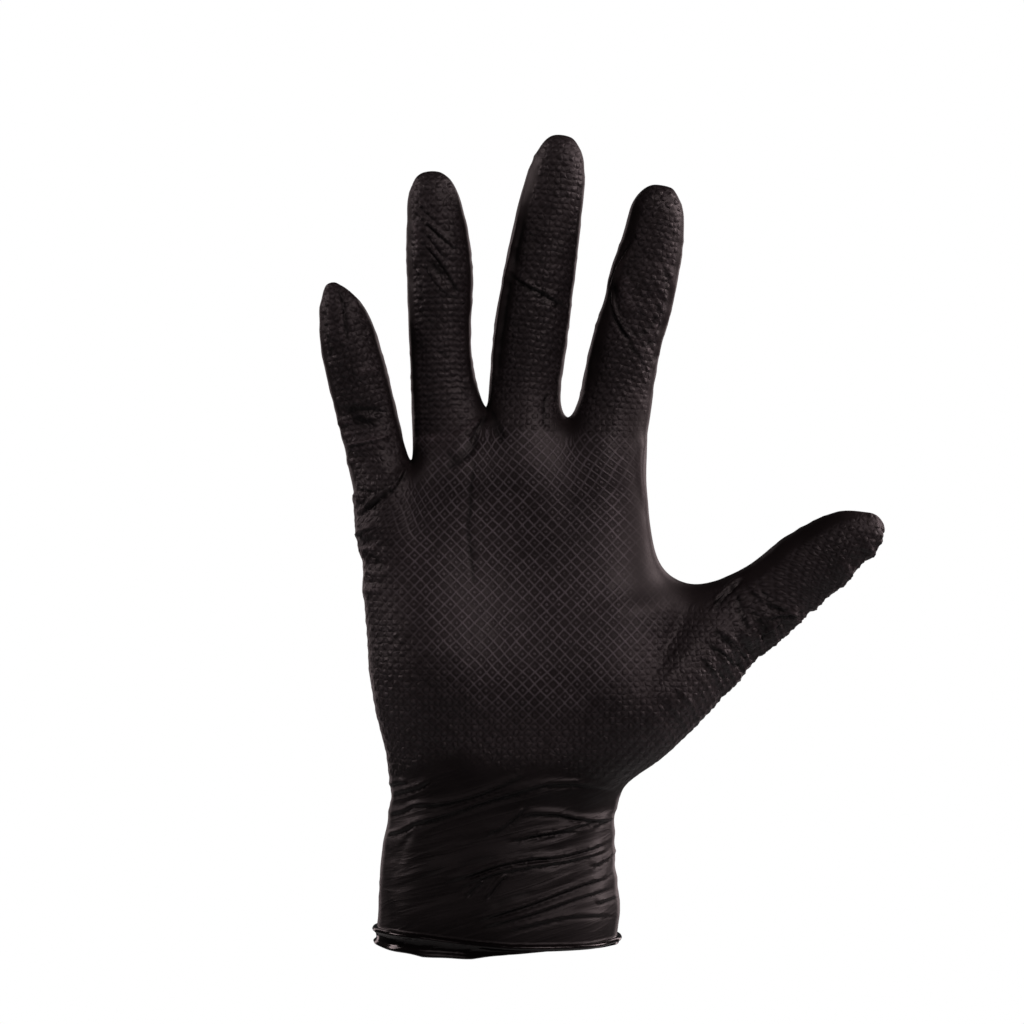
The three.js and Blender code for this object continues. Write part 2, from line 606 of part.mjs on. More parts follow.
// The whole outer skin
let row = cuffRow(0);
const mouthLoop = row;
for (let r = 1; r <= cuffRows; r += 1) {
  const next = cuffRow(r / cuffRows);
  stitch(row, next);
  row = next;
}
for (let r = 1; r <= lowerRows; r += 1) {
  const next = lowerRow(r / lowerRows);
  stitch(row, next);
  row = next;
}
const forkLoop = row;
const palmPlace = { region: 'palm' };
const thumbCrest = edgePath(forkLoop.front[fingerColumns], forkLoop.back[fingerColumns], thumbWeb, palmPlace);
growDigit(digits[4], part(forkLoop, fingerColumns, fullColumns, thumbCrest, forkLoop.right));
const upperStart = part(forkLoop, 0, fingerColumns, forkLoop.left, thumbCrest);
row = upperStart;
for (let r = 1; r <= upperRows; r += 1) {
  const next = upperRow(r / upperRows, upperStart);
  stitch(row, next);
  row = next;
}
const crests = webCrests.map((web, i) => {
  const c = (i + 1) * columnsPerDigit;
  return edgePath(row.front[c], row.back[c], web, palmPlace);
});
const borders = [row.left, ...crests, row.right];
for (let g = 0; g < 4; g += 1) {
  growDigit(digits[g], part(row, g * columnsPerDigit, (g + 1) * columnsPerDigit, borders[g], borders[g + 1]));
}

// Evens out the skin round the webs, where the digits leave the palm
function relaxWebs(passes) {
  const near = points.map(() => new Set());
  for (const quad of quads) {
    quad.forEach((id, i) => {
      near[id].add(quad[(i + 1) % 4]);
      near[id].add(quad[(i + 3) % 4]);
    });
  }
  const centres = [...webCrests, thumbWeb];
  const reach = rootBlend * 0.75;
  const weights = points.map((p) => {
    const gap = Math.min(...centres.map((c) => Math.hypot(p.x - c.x, p.z - c.z)));
    return 0.5 * Math.exp(-((gap / reach) ** 2));
  });
  for (let pass = 0; pass < passes; pass += 1) {
    const moved = points.map((p, id) => {
      const mean = new THREE.Vector3();
      near[id].forEach((other) => mean.add(points[other]));
      return p.clone().lerp(mean.divideScalar(near[id].size), weights[id]);
    });
    moved.forEach((p, id) => points[id].copy(p));
  }
}

function skinNormals() {
  const normals = points.map(() => new THREE.Vector3());
  for (const [a, b, c, d] of quads) {
    const ac = points[c].clone().sub(points[a]);
    const bd = points[d].clone().sub(points[b]);
    const normal = ac.cross(bd);
    [a, b, c, d].forEach((id) => normals[id].add(normal));
  }
  return normals.map((n) => n.normalize());
}

function foldProfile(px, pz, from, to, width) {
  const dx = to.x - from.x;
  const dz = to.z - from.z;
  const length = Math.hypot(dx, dz);
  const along = ((px - from.x) * dx + (pz - from.z) * dz) / (length * length);
  const t = THREE.MathUtils.clamp(along, 0, 1);
  const gap = Math.hypot(px - from.x - t * dx, pz - from.z - t * dz);
  return Math.exp(-((gap / width) ** 2));
}

function swellAt(p, face) {
  return swells.reduce((sum, swell) => {
    if (swell.face * face <= 0) return sum;
    const dx = (p.x / palmBreadth - swell.x) / swell.reachX;
    const dz = ((p.z - cuffLength) / palmLength - swell.z) / swell.reachZ;
    return sum + swell.height * heelDepth * Math.exp(-dx * dx - dz * dz);
  }, 0);
}

function sleeveFoldAt(p, place) {
  const inCuff = place.region === 'cuff';
  return sleeveFolds.reduce((sum, fold) => {
    if (fold.face * place.face < 0) return sum;
    const breadth = fold.region === 'cuff' ? wristBreadth : palmBreadth;
    const toZ = (share) => (fold.region === 'cuff'
      ? cuffLength - share * cuffLength
      : cuffLength + share * palmLength);
    const near = inCuff === (fold.region === 'cuff') || Math.abs(p.z - cuffLength) < 2 * foldWidth;
    if (!near) return sum;
    const from = { x: fold.x0 * breadth, z: toZ(fold.z0) };
    const to = { x: fold.x1 * breadth, z: toZ(fold.z1) };
    return sum + fold.depth * foldDepth * foldProfile(p.x, p.z, from, to, fold.width * foldWidth);
  }, 0);
}

function digitFoldAt(digit, place) {
  const half = digit.width / 2;
  return digitFolds.reduce((sum, fold) => {
    if (fold.name !== digit.name || fold.face * place.face < 0) return sum;
    const from = { x: fold.across0 * half, z: fold.along0 * digit.length };
    const to = { x: fold.across1 * half, z: fold.along1 * digit.length };
    const px = place.across * half;
    const pz = place.along * digit.length;
    return sum + fold.depth * foldDepth * foldProfile(px, pz, from, to, foldWidth * 0.9);
  }, 0);
}

function shapeSkin() {
  relaxWebs(4);
  points.forEach((p, id) => {
    const { face, region } = places[id];
    if (region === 'palm') {
      p.y += face * swellAt(p, face);
    }
  });
  const normals = skinNormals();
  points.forEach((p, id) => {
    const place = places[id];
    const digit = digits.find((d) => d.name === place.region);
    const lift = digit ? digitFoldAt(digit, place) : sleeveFoldAt(p, place);
    const share = place.face === 0 ? edgeFoldShare : 1;
    p.addScaledVector(normals[id], lift * share);
  });
}

shapeSkin();
const outerCount = points.length;
const outerQuads = quads.map((quad) => [...quad]);
const innerPoints = skinNormals().map((n, id) => points[id].clone().addScaledVector(n, -wall));

// Rolled bead, hung from the mouth's ring
function bandDepths() {
  const face = (sign) => mouthLoop.front.map((_, c) => rimAt(acrossOf(c, 5, insets.cuff), sign).band);
  const edge = (across) => mouthLoop.left.map(() => rimAt(across, 1).band);
  return ringOf({ front: face(-1), right: edge(1), back: face(1), left: edge(0) });
}

function beadRings() {
  const ring = ringOf(mouthLoop);
  const bands = bandDepths();
  const rimPoints = ring.map((id, i) => points[id].clone().setZ(points[id].z - bands[i]));
  const outward = rimPoints.map((_, i) => {
    const next = rimPoints[(i + 1) % ring.length];
    const last = rimPoints[(i + ring.length - 1) % ring.length];
    return new THREE.Vector3(next.y - last.y, last.x - next.x, 0).normalize();
  });
  return beadProfile.map((spot) => rimPoints.map((p, i) => {
    const q = p.clone().addScaledVector(outward[i], spot.out * beadBulge);
    return addPoint(q.x, q.y, q.z + spot.up * bands[i], { region: 'bead', face: 0 });
  }));
}

const rings = beadRings();
const innerStart = points.length;
innerPoints.forEach((p) => points.push(p));
const inside = (id) => innerStart + id;
const faces = outerQuads.map((quad) => quad);
outerQuads.forEach(([a, b, c, d]) => faces.push([inside(a), inside(d), inside(c), inside(b)]));
const mouthRing = ringOf(mouthLoop);
const ladder = [mouthRing.map(inside), ...rings, mouthRing];
for (let k = 0; k + 1 < ladder.length; k += 1) {
  ladder[k].forEach((id, i) => {
    const next = (i + 1) % mouthRing.length;
    faces.push([id, ladder[k][next], ladder[k + 1][next], ladder[k + 1][i]]);
  });
}

function gloveGeometry() {
  const triangles = [];
  for (const [a, b, c, d] of faces) {
    if (points[a].distanceTo(points[c]) <= points[b].distanceTo(points[d])) {
      triangles.push(a, b, c, a, c, d);
    } else {
      triangles.push(a, b, d, b, c, d);
    }
  }
  const geometry = new THREE.BufferGeometry();
  const position = new Float32Array(points.flatMap((p) => [p.x, p.y, p.z]));
  geometry.setAttribute('position', new THREE.BufferAttribute(position, 3));
  geometry.setIndex(triangles);
  geometry.computeVertexNormals();
  return geometry;
}

const nitrile = new THREE.MeshStandardMaterial({ color: 0x232125, roughness: 0.45, metalness: 0 });
const glove = new THREE.Mesh(gloveGeometry(), nitrile);
glove.name = 'glove';

const group = new THREE.Group();
group.name = 'nitrile_exam_glove';
group.add(glove);

export default group;
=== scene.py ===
from itertools import product
from math import cos, pi, radians, sin, sqrt

import bpy
import numpy as np
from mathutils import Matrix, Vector


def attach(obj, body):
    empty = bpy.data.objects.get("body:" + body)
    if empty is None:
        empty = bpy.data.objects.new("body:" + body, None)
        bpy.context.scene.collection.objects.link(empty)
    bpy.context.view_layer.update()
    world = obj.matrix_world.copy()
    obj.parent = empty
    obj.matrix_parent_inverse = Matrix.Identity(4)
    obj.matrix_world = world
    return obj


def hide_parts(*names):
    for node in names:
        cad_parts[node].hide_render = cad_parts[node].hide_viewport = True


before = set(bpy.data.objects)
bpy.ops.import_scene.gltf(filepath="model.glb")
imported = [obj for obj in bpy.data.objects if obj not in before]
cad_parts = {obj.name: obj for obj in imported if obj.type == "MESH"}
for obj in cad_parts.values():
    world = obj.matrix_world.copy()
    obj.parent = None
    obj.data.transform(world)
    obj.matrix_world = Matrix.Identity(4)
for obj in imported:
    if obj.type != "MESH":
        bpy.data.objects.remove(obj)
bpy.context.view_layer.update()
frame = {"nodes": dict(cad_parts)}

print("frame loaded:", ", ".join(frame["nodes"]))

# Lengths are millimetres until a mesh is made. The palm faces -Y, the fingers point to +Z, the thumb to +X.
glove = {
    "cuffLength": 45.2,
    "palmLength": 109.4,
    "openingBreadth": 70.4,
    "openingDepth": 50.0,
    "wristBreadth": 68.2,
    "wristDepth": 42.0,
    "palmBreadth": 85.0,
    "heelDepth": 36.0,
    "knuckleDepth": 26.0,
    "webThickness": 13.0,
    "webDrop": 4.0,
    "thumbWebThickness": 15.0,
    "thumbWebDrop": 4.5,
    "thumbRootDepth": 25.0,
    "rootBlend": 13.0,
    "filmThickness": 0.9,
    "columnsPerDigit": 6,
    "sideSteps": 4,
    "cuffRows": 14,
    "lowerRows": 15,
    "upperRows": 12,
}
columns = glove["columnsPerDigit"]
sideSteps = glove["sideSteps"]

# along, breadth and shift are shares of a digit's length and width. ribs says how far the pattern runs
# together at root, middle and upper part. gripSides is where the smooth side strips start, in half breadths.
digits = [
    {
        "name": "pinky", "length": 58.8, "width": 18.0, "thickness": 16.4, "rise": 7.0, "lean": -13.1,
        "rows": 14, "root": (-0.386, 0.832), "ribs": [0.15, 0.15, 0.15], "gripSides": (0.82, 0.82),
        "along": [0, 0.1, 0.3, 0.5, 0.7, 0.8, 0.9, 0.95, 1],
        "breadth": [1, 0.99, 0.985, 0.995, 0.95, 0.84, 0.64, 0.41, 0.08],
        "shift": [-0.02, -0.055, -0.07, -0.07, -0.08, -0.065, -0.095, -0.13, -0.16],
    },
    {
        "name": "ring", "length": 78.4, "width": 19.5, "thickness": 17.6, "rise": 6.0, "lean": -2.7,
        "rows": 18, "root": (-0.169, 0.933), "ribs": [0.9, 0.4, 0.15], "gripSides": (0.78, 0.8),
        "along": [0, 0.1, 0.2, 0.3, 0.4, 0.5, 0.6, 0.7, 0.8, 0.9, 0.95, 1],
        "breadth": [1.12, 1.1, 1, 0.945, 0.935, 0.98, 1.005, 0.99, 0.9, 0.795, 0.67, 0.3],
        "shift": [0, 0, -0.05, -0.06, -0.065, -0.035, -0.015, -0.02, -0.03, -0.065, -0.07, -0.08],
    },
    {
        "name": "middle", "length": 82.0, "width": 21.5, "thickness": 18.6, "rise": 8.0, "lean": 6.9,
        "rows": 19, "root": (0.094, 0.997), "ribs": [0.2, 0.2, 0.15], "gripSides": (0.6, 0.88),
        "blends": (13.0, 5.0),
        "along": [0, 0.1, 0.3, 0.5, 0.7, 0.8, 0.9, 0.95, 1],
        "breadth": [0.98, 0.986, 1.03, 0.986, 0.9, 0.85, 0.745, 0.61, 0.28],
        "shift": [-0.02, -0.065, -0.07, -0.05, -0.02, 0.005, 0.03, 0.03, 0.03],
    },
    {
        "name": "index", "length": 71.2, "width": 21.0, "thickness": 18.6, "rise": 8.0, "lean": 12.5,
        "rows": 17, "root": (0.375, 0.973), "ribs": [0.15, 0.1, 0.1], "gripSides": (0.62, 0.8),
        "blends": (5.0, 13.0),
        "along": [0, 0.1, 0.2, 0.4, 0.5, 0.6, 0.7, 0.8, 0.9, 0.95, 1],
        "breadth": [1.08, 1.02, 1, 0.97, 0.943, 0.957, 0.914, 0.843, 0.77, 0.62, 0.28],
        "shift": [0.02, 0.04, 0.015, 0.005, 0.043, 0.033, 0.048, 0.052, 0.024, 0.02, 0.02],
    },
    {
        "name": "thumb", "length": 55.0, "width": 24.0, "thickness": 20.5, "rise": 9.0, "lean": 58.0,
        "rows": 13, "root": (0.774, 0.431), "ribs": [0.0, 0.05, 0.05], "gripSides": (0.6, 1.3),
        "turnOver": 42.0,
        "along": [0, 0.1, 0.2, 0.3, 0.4, 0.5, 0.6, 0.7, 0.8, 0.9, 0.95, 1],
        "breadth": [1.2, 1.067, 1.004, 0.946, 0.925, 0.946, 0.896, 0.842, 0.733, 0.6, 0.44, 0.2],
        "shift": [-0.01, 0, -0.01, -0.025, -0.054, -0.096, -0.112, -0.133, -0.15, -0.125, -0.105, -0.09],
    },
]
digitForm = {"tipStart": 0.965, "sectionPower": 2.15, "cornerAngle": 0.52}

# Corners and edges of the palm and cuff, as shares of their breadth and length
corners = {
    "littleRoot": (-0.495, 0.784),
    "webs": [(-0.293, 0.86), (-0.04, 1.004), (0.239, 0.974)],
    "indexRoot": (0.512, 0.949),
    "thumbWeb": (0.656, 0.545),
    "thumbFoot": (0.882, 0.338),
    "thumbWebLevel": 0.5,
}
edges = {
    "cuff": {
        "up": [0, 0.16, 0.42, 0.68, 0.85, 1],
        "left": [-0.506, -0.504, -0.5, -0.485, -0.47, -0.463],
        "right": [0.494, 0.51, 0.498, 0.4935, 0.499, 0.537],
    },
    "little": {
        "up": [0, 0.1375, 0.266, 0.406, 0.545, 0.685, 0.81, 0.918, 1],
        "across": [0, 0.15, 0.44, 0.63, 0.68, 0.78, 0.83, 1.03, 1],
    },
    "thumb": {
        "up": [0, 0.078, 0.238, 0.395, 0.63, 1],
        "across": [0, 0.052, 0.273, 0.448, 0.669, 1],
    },
    "index": {
        "up": [0, 0.052, 0.121, 0.187, 0.253, 0.385, 0.7, 1],
        "across": [0, 0.53, 0.68, 0.78, 0.85, 0.93, 1.04, 1],
    },
}
insets = {"cuff": 0.03, "thumbWeb": 0.03, "knuckles": 0.018}
cornerReach = 0.94

# Rim: how far its lower edge stands above the mouth's plane, and how deep the rolled band is
rim = {
    "palmSide": {
        "across": [0, 0.2, 0.4, 0.55, 0.7, 0.9, 1],
        "low": [1.0, -1.0, -1.0, 0.1, 0.9, 0.9, 1.1],
        "band": [5.0, 6.4, 4.9, 2.9, 1.9, 1.7, 2.3],
    },
    "backSide": {
        "across": [0, 0.3, 0.7, 1],
        "low": [1.0, 1.7, 1.7, 1.1],
        "band": [5.0, 3.2, 2.4, 2.3],
    },
}

# Full places: centre and reach are shares of the palm, lift is a share of its depth
swells = [
    {"side": -1, "at": (0.53, 0.27), "reach": (0.24, 0.2), "lift": 0.15},
    {"side": -1, "at": (0.02, 0.34), "reach": (0.4, 0.17), "lift": 0.1},
    {"side": -1, "at": (-0.27, 0.32), "reach": (0.17, 0.27), "lift": 0.1},
    {"side": -1, "at": (0.06, 0.57), "reach": (0.24, 0.22), "lift": -0.1},
    {"side": -1, "at": (-0.1, 0.86), "reach": (0.34, 0.09), "lift": 0.05},
    {"side": 1, "at": (-0.33, 0.7), "reach": (0.08, 0.1), "lift": 0.06},
    {"side": 1, "at": (-0.14, 0.8), "reach": (0.08, 0.1), "lift": 0.07},
    {"side": 1, "at": (0.09, 0.85), "reach": (0.08, 0.1), "lift": 0.08},
    {"side": 1, "at": (0.34, 0.8), "reach": (0.08, 0.1), "lift": 0.07},
]

# Folds of the palm's side: kind, height, width, and a path in the XZ plane as the camera sees it.
# A pleat has its ridge above the path and its valley below. A line is a thin shallow crease with painted
# shade along it. Every fold also paints shade and highlight into the colour.
palmFolds = [
    # Cuff
    ("pleat", 0.64, 1.22, [(-32.2, 33.8), (-26.4, 34.7), (-17.1, 37.0), (-6.0, 40.8), (3.9, 43.7),
                         (13.6, 46.4), (22.3, 46.7), (33.1, 45.2), (36.6, 45.2)]),
    ("pleat", 0.4, 1.15, [(-28.1, 40.5), (-17.1, 40.8), (-6.6, 43.2), (1.9, 46.7), (9.8, 50.5)]),
    ("pleat", 0.36, 1.15, [(-31.6, 43.2), (-27.6, 44.6), (-23.5, 45.8), (-19.4, 48.1)]),
    ("line", 0.4, 1.15, [(-31.9, 40.5), (-27.6, 41.4), (-22.9, 43.5)]),
    ("pleat", 0.32, 1.15, [(-31.9, 37.9), (-28.1, 38.8), (-24.6, 40.5)]),
    ("pleat", 0.32, 1.15, [(-32.2, 46.1), (-29.3, 47.0), (-26.4, 47.2)]),
    ("pleat", 0.4, 1.15, [(-32.8, 31.8), (-28.7, 33.0), (-24.6, 34.7)]),
    ("line", 0.4, 1.15, [(-24.4, 34.7), (-27.3, 28.9), (-29.9, 22.5), (-31.6, 17.8)]),
    ("line", 0.28, 1.15, [(-25.2, 33.2), (-29.3, 27.7), (-32.2, 24.2)]),
    ("pleat", 0.56, 1.15, [(6.0, 37.0), (9.8, 37.9), (16.8, 37.9), (23.8, 36.5), (29.6, 36.5),
                           (34.3, 39.1)]),
    ("pleat", 0.4, 1.15, [(-3.6, 31.8), (2.2, 34.7), (6.3, 38.2), (8.6, 40.5)]),
    ("pleat", 0.48, 1.15, [(6.3, 31.2), (14.4, 32.4), (22.0, 34.1), (29.0, 35.9), (33.7, 35.9)]),
    ("pleat", 0.32, 1.15, [(2.2, 30.0), (9.2, 31.2), (16.8, 32.4), (25.5, 33.5)]),
    ("pleat", 0.56, 1.15, [(-17.1, 17.5), (-8.3, 20.1), (0.4, 23.0), (9.8, 24.8), (17.4, 25.4),
                           (24.4, 27.1),
                         (29.6, 28.9), (34.3, 31.8)]),
    ("pleat", 0.36, 1.15, [(-13.6, 15.2), (-5.4, 19.0), (2.2, 21.3), (12.1, 23.0), (19.7, 24.2),
                          (27.3, 26.0), (33.1, 27.7)]),
    ("pleat", 0.36, 1.15, [(-3.6, 13.1), (-0.1, 17.8), (2.8, 20.7)]),
    ("pleat", 0.32, 1.15, [(-9.5, 13.7), (-7.1, 16.6), (-4.2, 18.7)]),
    ("pleat", 0.48, 1.15, [(-8.3, 5.8), (-0.7, 8.5), (8.6, 11.4), (17.9, 14.9), (24.9, 17.5), (30.8, 19.5),
                         (34.6, 22.5)]),
    ("pleat", 0.32, 1.15, [(-6.6, 4.4), (2.2, 6.7), (12.1, 9.6), (22.0, 13.1), (29.6, 15.5), (34.3, 17.5)]),
    ("pleat", 0.32, 1.15, [(0.4, 3.2), (9.2, 5.5), (19.7, 7.9), (29.6, 8.5), (34.6, 8.7)]),
    ("line", 0.28, 1.15, [(-2.5, 10.8), (3.9, 14.0), (10.9, 16.0)]),
    ("line", 0.28, 1.15, [(-12.7, 22.5), (-6.0, 24.8), (0.4, 26.0)]),
    ("line", 0.28, 1.15, [(-32.2, 15.2), (-25.8, 18.4), (-18.2, 21.3), (-14.1, 23.0)]),
    ("line", 0.24, 1.15, [(-10.6, 28.9), (-4.2, 31.2), (0.4, 34.1)]),
    ("pleat", 0.4, 1.15, [(27.8, 34.1), (31.3, 35.9), (34.3, 37.0)]),
    ("pleat", 0.4, 1.15, [(26.7, 22.5), (31.3, 24.8), (34.6, 27.7)]),
    ("pleat", 0.4, 1.15, [(28.4, 11.7), (31.9, 13.1), (35.1, 14.3)]),
    # Little finger and the outer edge below it
    ("line", 0.7, 0.6, [(-48.0, 192.8), (-45.9, 189.0), (-44.8, 182.8), (-44.2, 175.0)]),
    ("line", 0.5, 0.5, [(-48.8, 192.2), (-50.0, 186.6), (-49.7, 177.9), (-48.3, 170.0)]),
    ("ridge", 0.35, 0.6, [(-47.4, 192.8), (-43.0, 189.8), (-40.4, 184.6)]),
    ("line", 0.7, 0.7, [(-44.8, 155.4), (-40.4, 156.3), (-35.1, 155.7)]),
    ("line", 0.6, 0.6, [(-43.3, 152.8), (-39.2, 153.4), (-33.4, 152.2)]),
    ("pleat", 0.6, 0.8, [(-45.1, 145.2), (-40.4, 146.1), (-34.6, 147.3), (-30.5, 148.4)]),
    ("line", 0.8, 0.6, [(-25.8, 139.7), (-28.7, 136.2), (-33.4, 132.7), (-38.6, 129.8), (-41.3, 126.3)]),
    ("line", 0.5, 0.5, [(-26.4, 140.9), (-30.2, 136.8), (-34.6, 134.1)]),
    ("pleat", 0.6, 0.8, [(-41.0, 118.7), (-38.6, 121.0), (-35.7, 121.6)]),
    ("line", 0.5, 0.6, [(-39.8, 115.8), (-35.7, 112.3), (-33.4, 108.8)]),
    # Root and back of the thumb
    ("pleat", 0.5, 0.8, [(62.0, 96.5), (64.6, 100.3), (67.2, 103.2), (69.8, 105.6), (71.6, 107.0)]),
    ("line", 0.5, 0.7, [(69.6, 101.5), (70.4, 97.4), (72.2, 92.7), (73.6, 89.8)]),
    ("pleat", 0.4, 0.8, [(63.1, 91.9), (66.1, 90.4), (69.3, 87.5), (71.6, 84.6), (73.6, 82.5)]),
    ("pleat", 0.35, 0.7, [(63.1, 86.6), (66.1, 84.6), (68.4, 81.4)]),
    ("pleat", 0.4, 0.8, [(71.6, 105.0), (77.4, 100.3), (83.5, 97.4), (88.2, 95.1)]),
    ("pleat", 0.35, 0.7, [(77.4, 94.2), (81.2, 95.7), (85.9, 96.5), (89.7, 97.4)]),
    ("pleat", 0.35, 0.7, [(75.4, 88.9), (79.8, 91.9), (83.5, 94.2)]),
    ("pleat", 0.4, 0.6, [(79.5, 115.8), (80.6, 117.8), (83.5, 119.6), (87.9, 121.6)]),
    # Web beside the little finger
    ("line", 0.4, 0.5, [(-41.3, 133.6), (-36.9, 132.1), (-33.4, 133.0)]),
    ("line", 0.4, 0.5, [(-41.3, 128.9), (-37.5, 127.4), (-34.6, 128.3)]),
    # Index finger
    ("pleat", 0.9, 1.0, [(32.5, 191.6), (33.3, 186.1), (34.7, 182.0), (36.8, 178.5), (39.5, 176.1)]),
    ("ridge", 0.5, 0.9, [(38.1, 176.1), (42.1, 177.0), (45.1, 179.1), (46.8, 182.6), (48.4, 188.4),
                         (48.8, 194.2)]),
    ("line", 0.35, 0.6, [(39.8, 177.9), (43.6, 179.6), (45.9, 183.1), (47.4, 188.4)]),
    ("pleat", 0.4, 0.7, [(39.8, 206.2), (35.1, 198.9), (32.2, 190.7)]),
    ("line", 0.4, 0.6, [(37.8, 176.1), (39.2, 173.5), (41.3, 171.5)]),
    # Ring finger
    ("pleat", 0.14, 0.6, [(-21.7, 199.2), (-19.4, 194.5), (-15.9, 190.4), (-12.1, 188.1)]),
    ("pleat", 0.12, 0.6, [(-22.9, 209.7), (-20.0, 206.2), (-17.1, 202.1), (-13.6, 199.2)]),
    ("pleat", 0.12, 0.6, [(-24.6, 213.8), (-21.7, 211.4), (-18.8, 208.5), (-16.8, 205.6)]),
    ("line", 0.14, 0.5, [(-24.9, 199.2), (-22.9, 193.9), (-22.3, 188.1), (-22.9, 179.3)]),
    # Webs, and the palm below them
    ("ridge", 0.5, 1.2, [(-24.4, 147.3), (-17.4, 147.3)]),
    ("ridge", 0.6, 1.0, [(-14.4, 147.0), (-11.5, 147.9), (-8.3, 149.6), (-6.0, 152.5), (-4.2, 153.7)]),
    ("valley", 0.8, 1.3, [(-6.0, 150.8), (-8.0, 144.9), (-11.5, 141.7), (-16.5, 138.2)]),
    ("valley", 0.4, 0.9, [(-15.3, 144.6), (-13.3, 141.4)]),
    ("valley", 0.5, 1.0, [(-2.8, 152.8), (-0.1, 149.6), (1.3, 146.4)]),
    ("line", 0.5, 0.7, [(-7.4, 144.9), (-7.1, 139.4), (-8.0, 133.6), (-8.3, 126.3), (-8.9, 122.2),
                        (-8.0, 112.3), (-6.9, 100.6)]),
    ("ridge", 0.5, 0.9, [(-32.2, 132.4), (-29.3, 134.4), (-27.3, 137.4), (-26.1, 139.7)]),
    ("ridge", 0.4, 0.8, [(-34.3, 133.6), (-31.3, 135.6), (-29.0, 138.5), (-27.8, 141.1)]),
    ("pleat", 0.9, 1.2, [(-41.8, 124.5), (-38.3, 127.7), (-34.6, 130.6), (-29.9, 133.9), (-26.7, 139.1),
                         (-25.2, 140.3)]),
    ("ridge", 0.6, 1.2, [(-41.8, 119.3), (-36.0, 121.3)]),
    ("ridge", 0.6, 1.2, [(-41.3, 114.9), (-34.6, 116.6)]),
    ("ridge", 0.4, 1.2, [(-40.4, 102.9), (-34.0, 104.1)]),
    # Little finger, finer
    ("ridge", 0.4, 0.8, [(-48.6, 193.1), (-49.4, 188.7), (-49.4, 181.4), (-48.6, 174.7)]),
    ("ridge", 0.4, 0.8, [(-47.4, 192.5), (-46.2, 185.8), (-45.3, 177.3), (-44.5, 173.5)]),
    ("ridge", 0.5, 1.2, [(-42.7, 165.9), (-38.6, 167.4), (-34.6, 168.0)]),
    ("valley", 0.5, 1.1, [(-45.6, 154.9), (-38.6, 155.7), (-31.6, 155.4)]),
    ("valley", 0.5, 1.0, [(-43.3, 153.4), (-39.5, 151.9), (-35.1, 151.4)]),
    ("ridge", 0.6, 1.3, [(-44.5, 144.6), (-38.3, 146.1), (-31.6, 147.9)]),
    ("ridge", 0.5, 0.9, [(-47.4, 151.9), (-42.7, 153.1)]),
    ("ridge", 0.5, 0.9, [(-46.2, 148.1), (-41.6, 149.6)]),
    ("ridge", 0.5, 0.9, [(-45.1, 140.6), (-39.8, 142.0)]),
    # Ring finger, finer
    ("pleat", 0.08, 0.64, [(-24.1, 217.5), (-20.9, 213.5), (-17.9, 211.7)]),
    ("line", 0.06, 0.4, [(-23.8, 216.4), (-20.9, 212.6), (-17.9, 210.8)]),
    ("pleat", 0.1, 0.72, [(-23.8, 211.1), (-19.4, 209.1), (-15.6, 205.6), (-10.9, 201.8)]),
    ("line", 0.08, 0.4, [(-22.9, 210.3), (-19.4, 208.2), (-15.9, 205.0), (-11.8, 201.8)]),
    ("pleat", 0.14, 0.96, [(-22.6, 206.2), (-20.0, 202.7), (-15.6, 196.8), (-12.1, 191.3), (-10.4, 187.8)]),
    ("line", 0.16, 0.4, [(-21.1, 203.0), (-17.6, 199.2), (-15.0, 195.4), (-12.4, 190.7), (-11.2, 188.4)]),
    ("valley", 0.45, 1.5, [(-20.9, 198.9), (-18.2, 197.4), (-15.6, 194.5)]),
    ("ridge", 0.5, 0.6, [(-25.2, 211.7), (-23.8, 207.6), (-23.5, 203.0), (-24.6, 197.4)]),
    ("line", 0.08, 0.56, [(-24.9, 213.2), (-24.1, 211.7), (-22.6, 210.8)]),
    ("line", 0.35, 0.9, [(-18.2, 172.9), (-15.3, 172.3), (-13.6, 171.2)]),
    ("ridge", 0.3, 0.5, [(-24.9, 148.4), (-19.4, 148.1), (-14.1, 148.1), (-9.2, 150.5), (-4.2, 154.3)]),
    # Middle finger
    ("pleat", 0.6, 0.9, [(3.6, 195.4), (7.7, 192.8), (13.0, 190.1), (20.3, 185.8)]),
    ("line", 0.9, 0.5, [(4.5, 194.2), (8.0, 191.6), (13.0, 189.0), (19.4, 185.5)]),
    ("line", 0.4, 0.5, [(9.5, 192.8), (12.1, 191.9), (14.4, 190.1)]),
    ("ridge", 0.6, 0.7, [(3.4, 200.6), (3.6, 197.4), (2.2, 193.3)]),
    ("ridge", 0.45, 0.6, [(9.2, 222.2), (6.0, 210.8), (3.4, 199.2), (1.3, 188.1), (-0.7, 173.5),
                          (-1.9, 158.3)]),
    ("line", 0.4, 0.6, [(10.4, 220.2), (7.1, 209.7), (4.5, 199.2), (2.5, 188.1), (0.4, 173.5),
                        (-0.7, 159.5)]),
    ("line", 0.5, 0.6, [(13.9, 161.8), (13.6, 156.6), (13.6, 150.2)]),
    ("line", 0.5, 0.6, [(-2.8, 155.4), (-6.0, 151.9), (-9.5, 149.0), (-14.1, 147.3)]),
    ("line", 0.6, 0.6, [(-2.5, 156.6), (-0.1, 151.9), (1.6, 147.3)]),
    ("line", 0.5, 0.6, [(-3.4, 154.3), (-6.6, 149.6), (-7.7, 145.5)]),
    # Index finger, finer
    ("ridge", 0.5, 2.6, [(35.7, 196.3), (37.2, 189.6), (38.1, 182.8)]),
    ("line", 0.6, 0.8, [(34.6, 199.2), (33.7, 191.9), (34.8, 184.6), (37.2, 179.6), (41.3, 177.9),
                        (47.4, 179.3)]),
    ("ridge", 0.3, 0.5, [(40.7, 203.8), (36.9, 199.2), (32.8, 193.9), (31.1, 189.8)]),
    ("ridge", 0.35, 0.8, [(49.7, 198.0), (50.9, 191.0), (49.1, 181.7), (46.8, 175.0)]),
    ("line", 0.4, 0.7, [(48.0, 199.2), (49.1, 191.6), (47.4, 182.8), (45.1, 175.8)]),
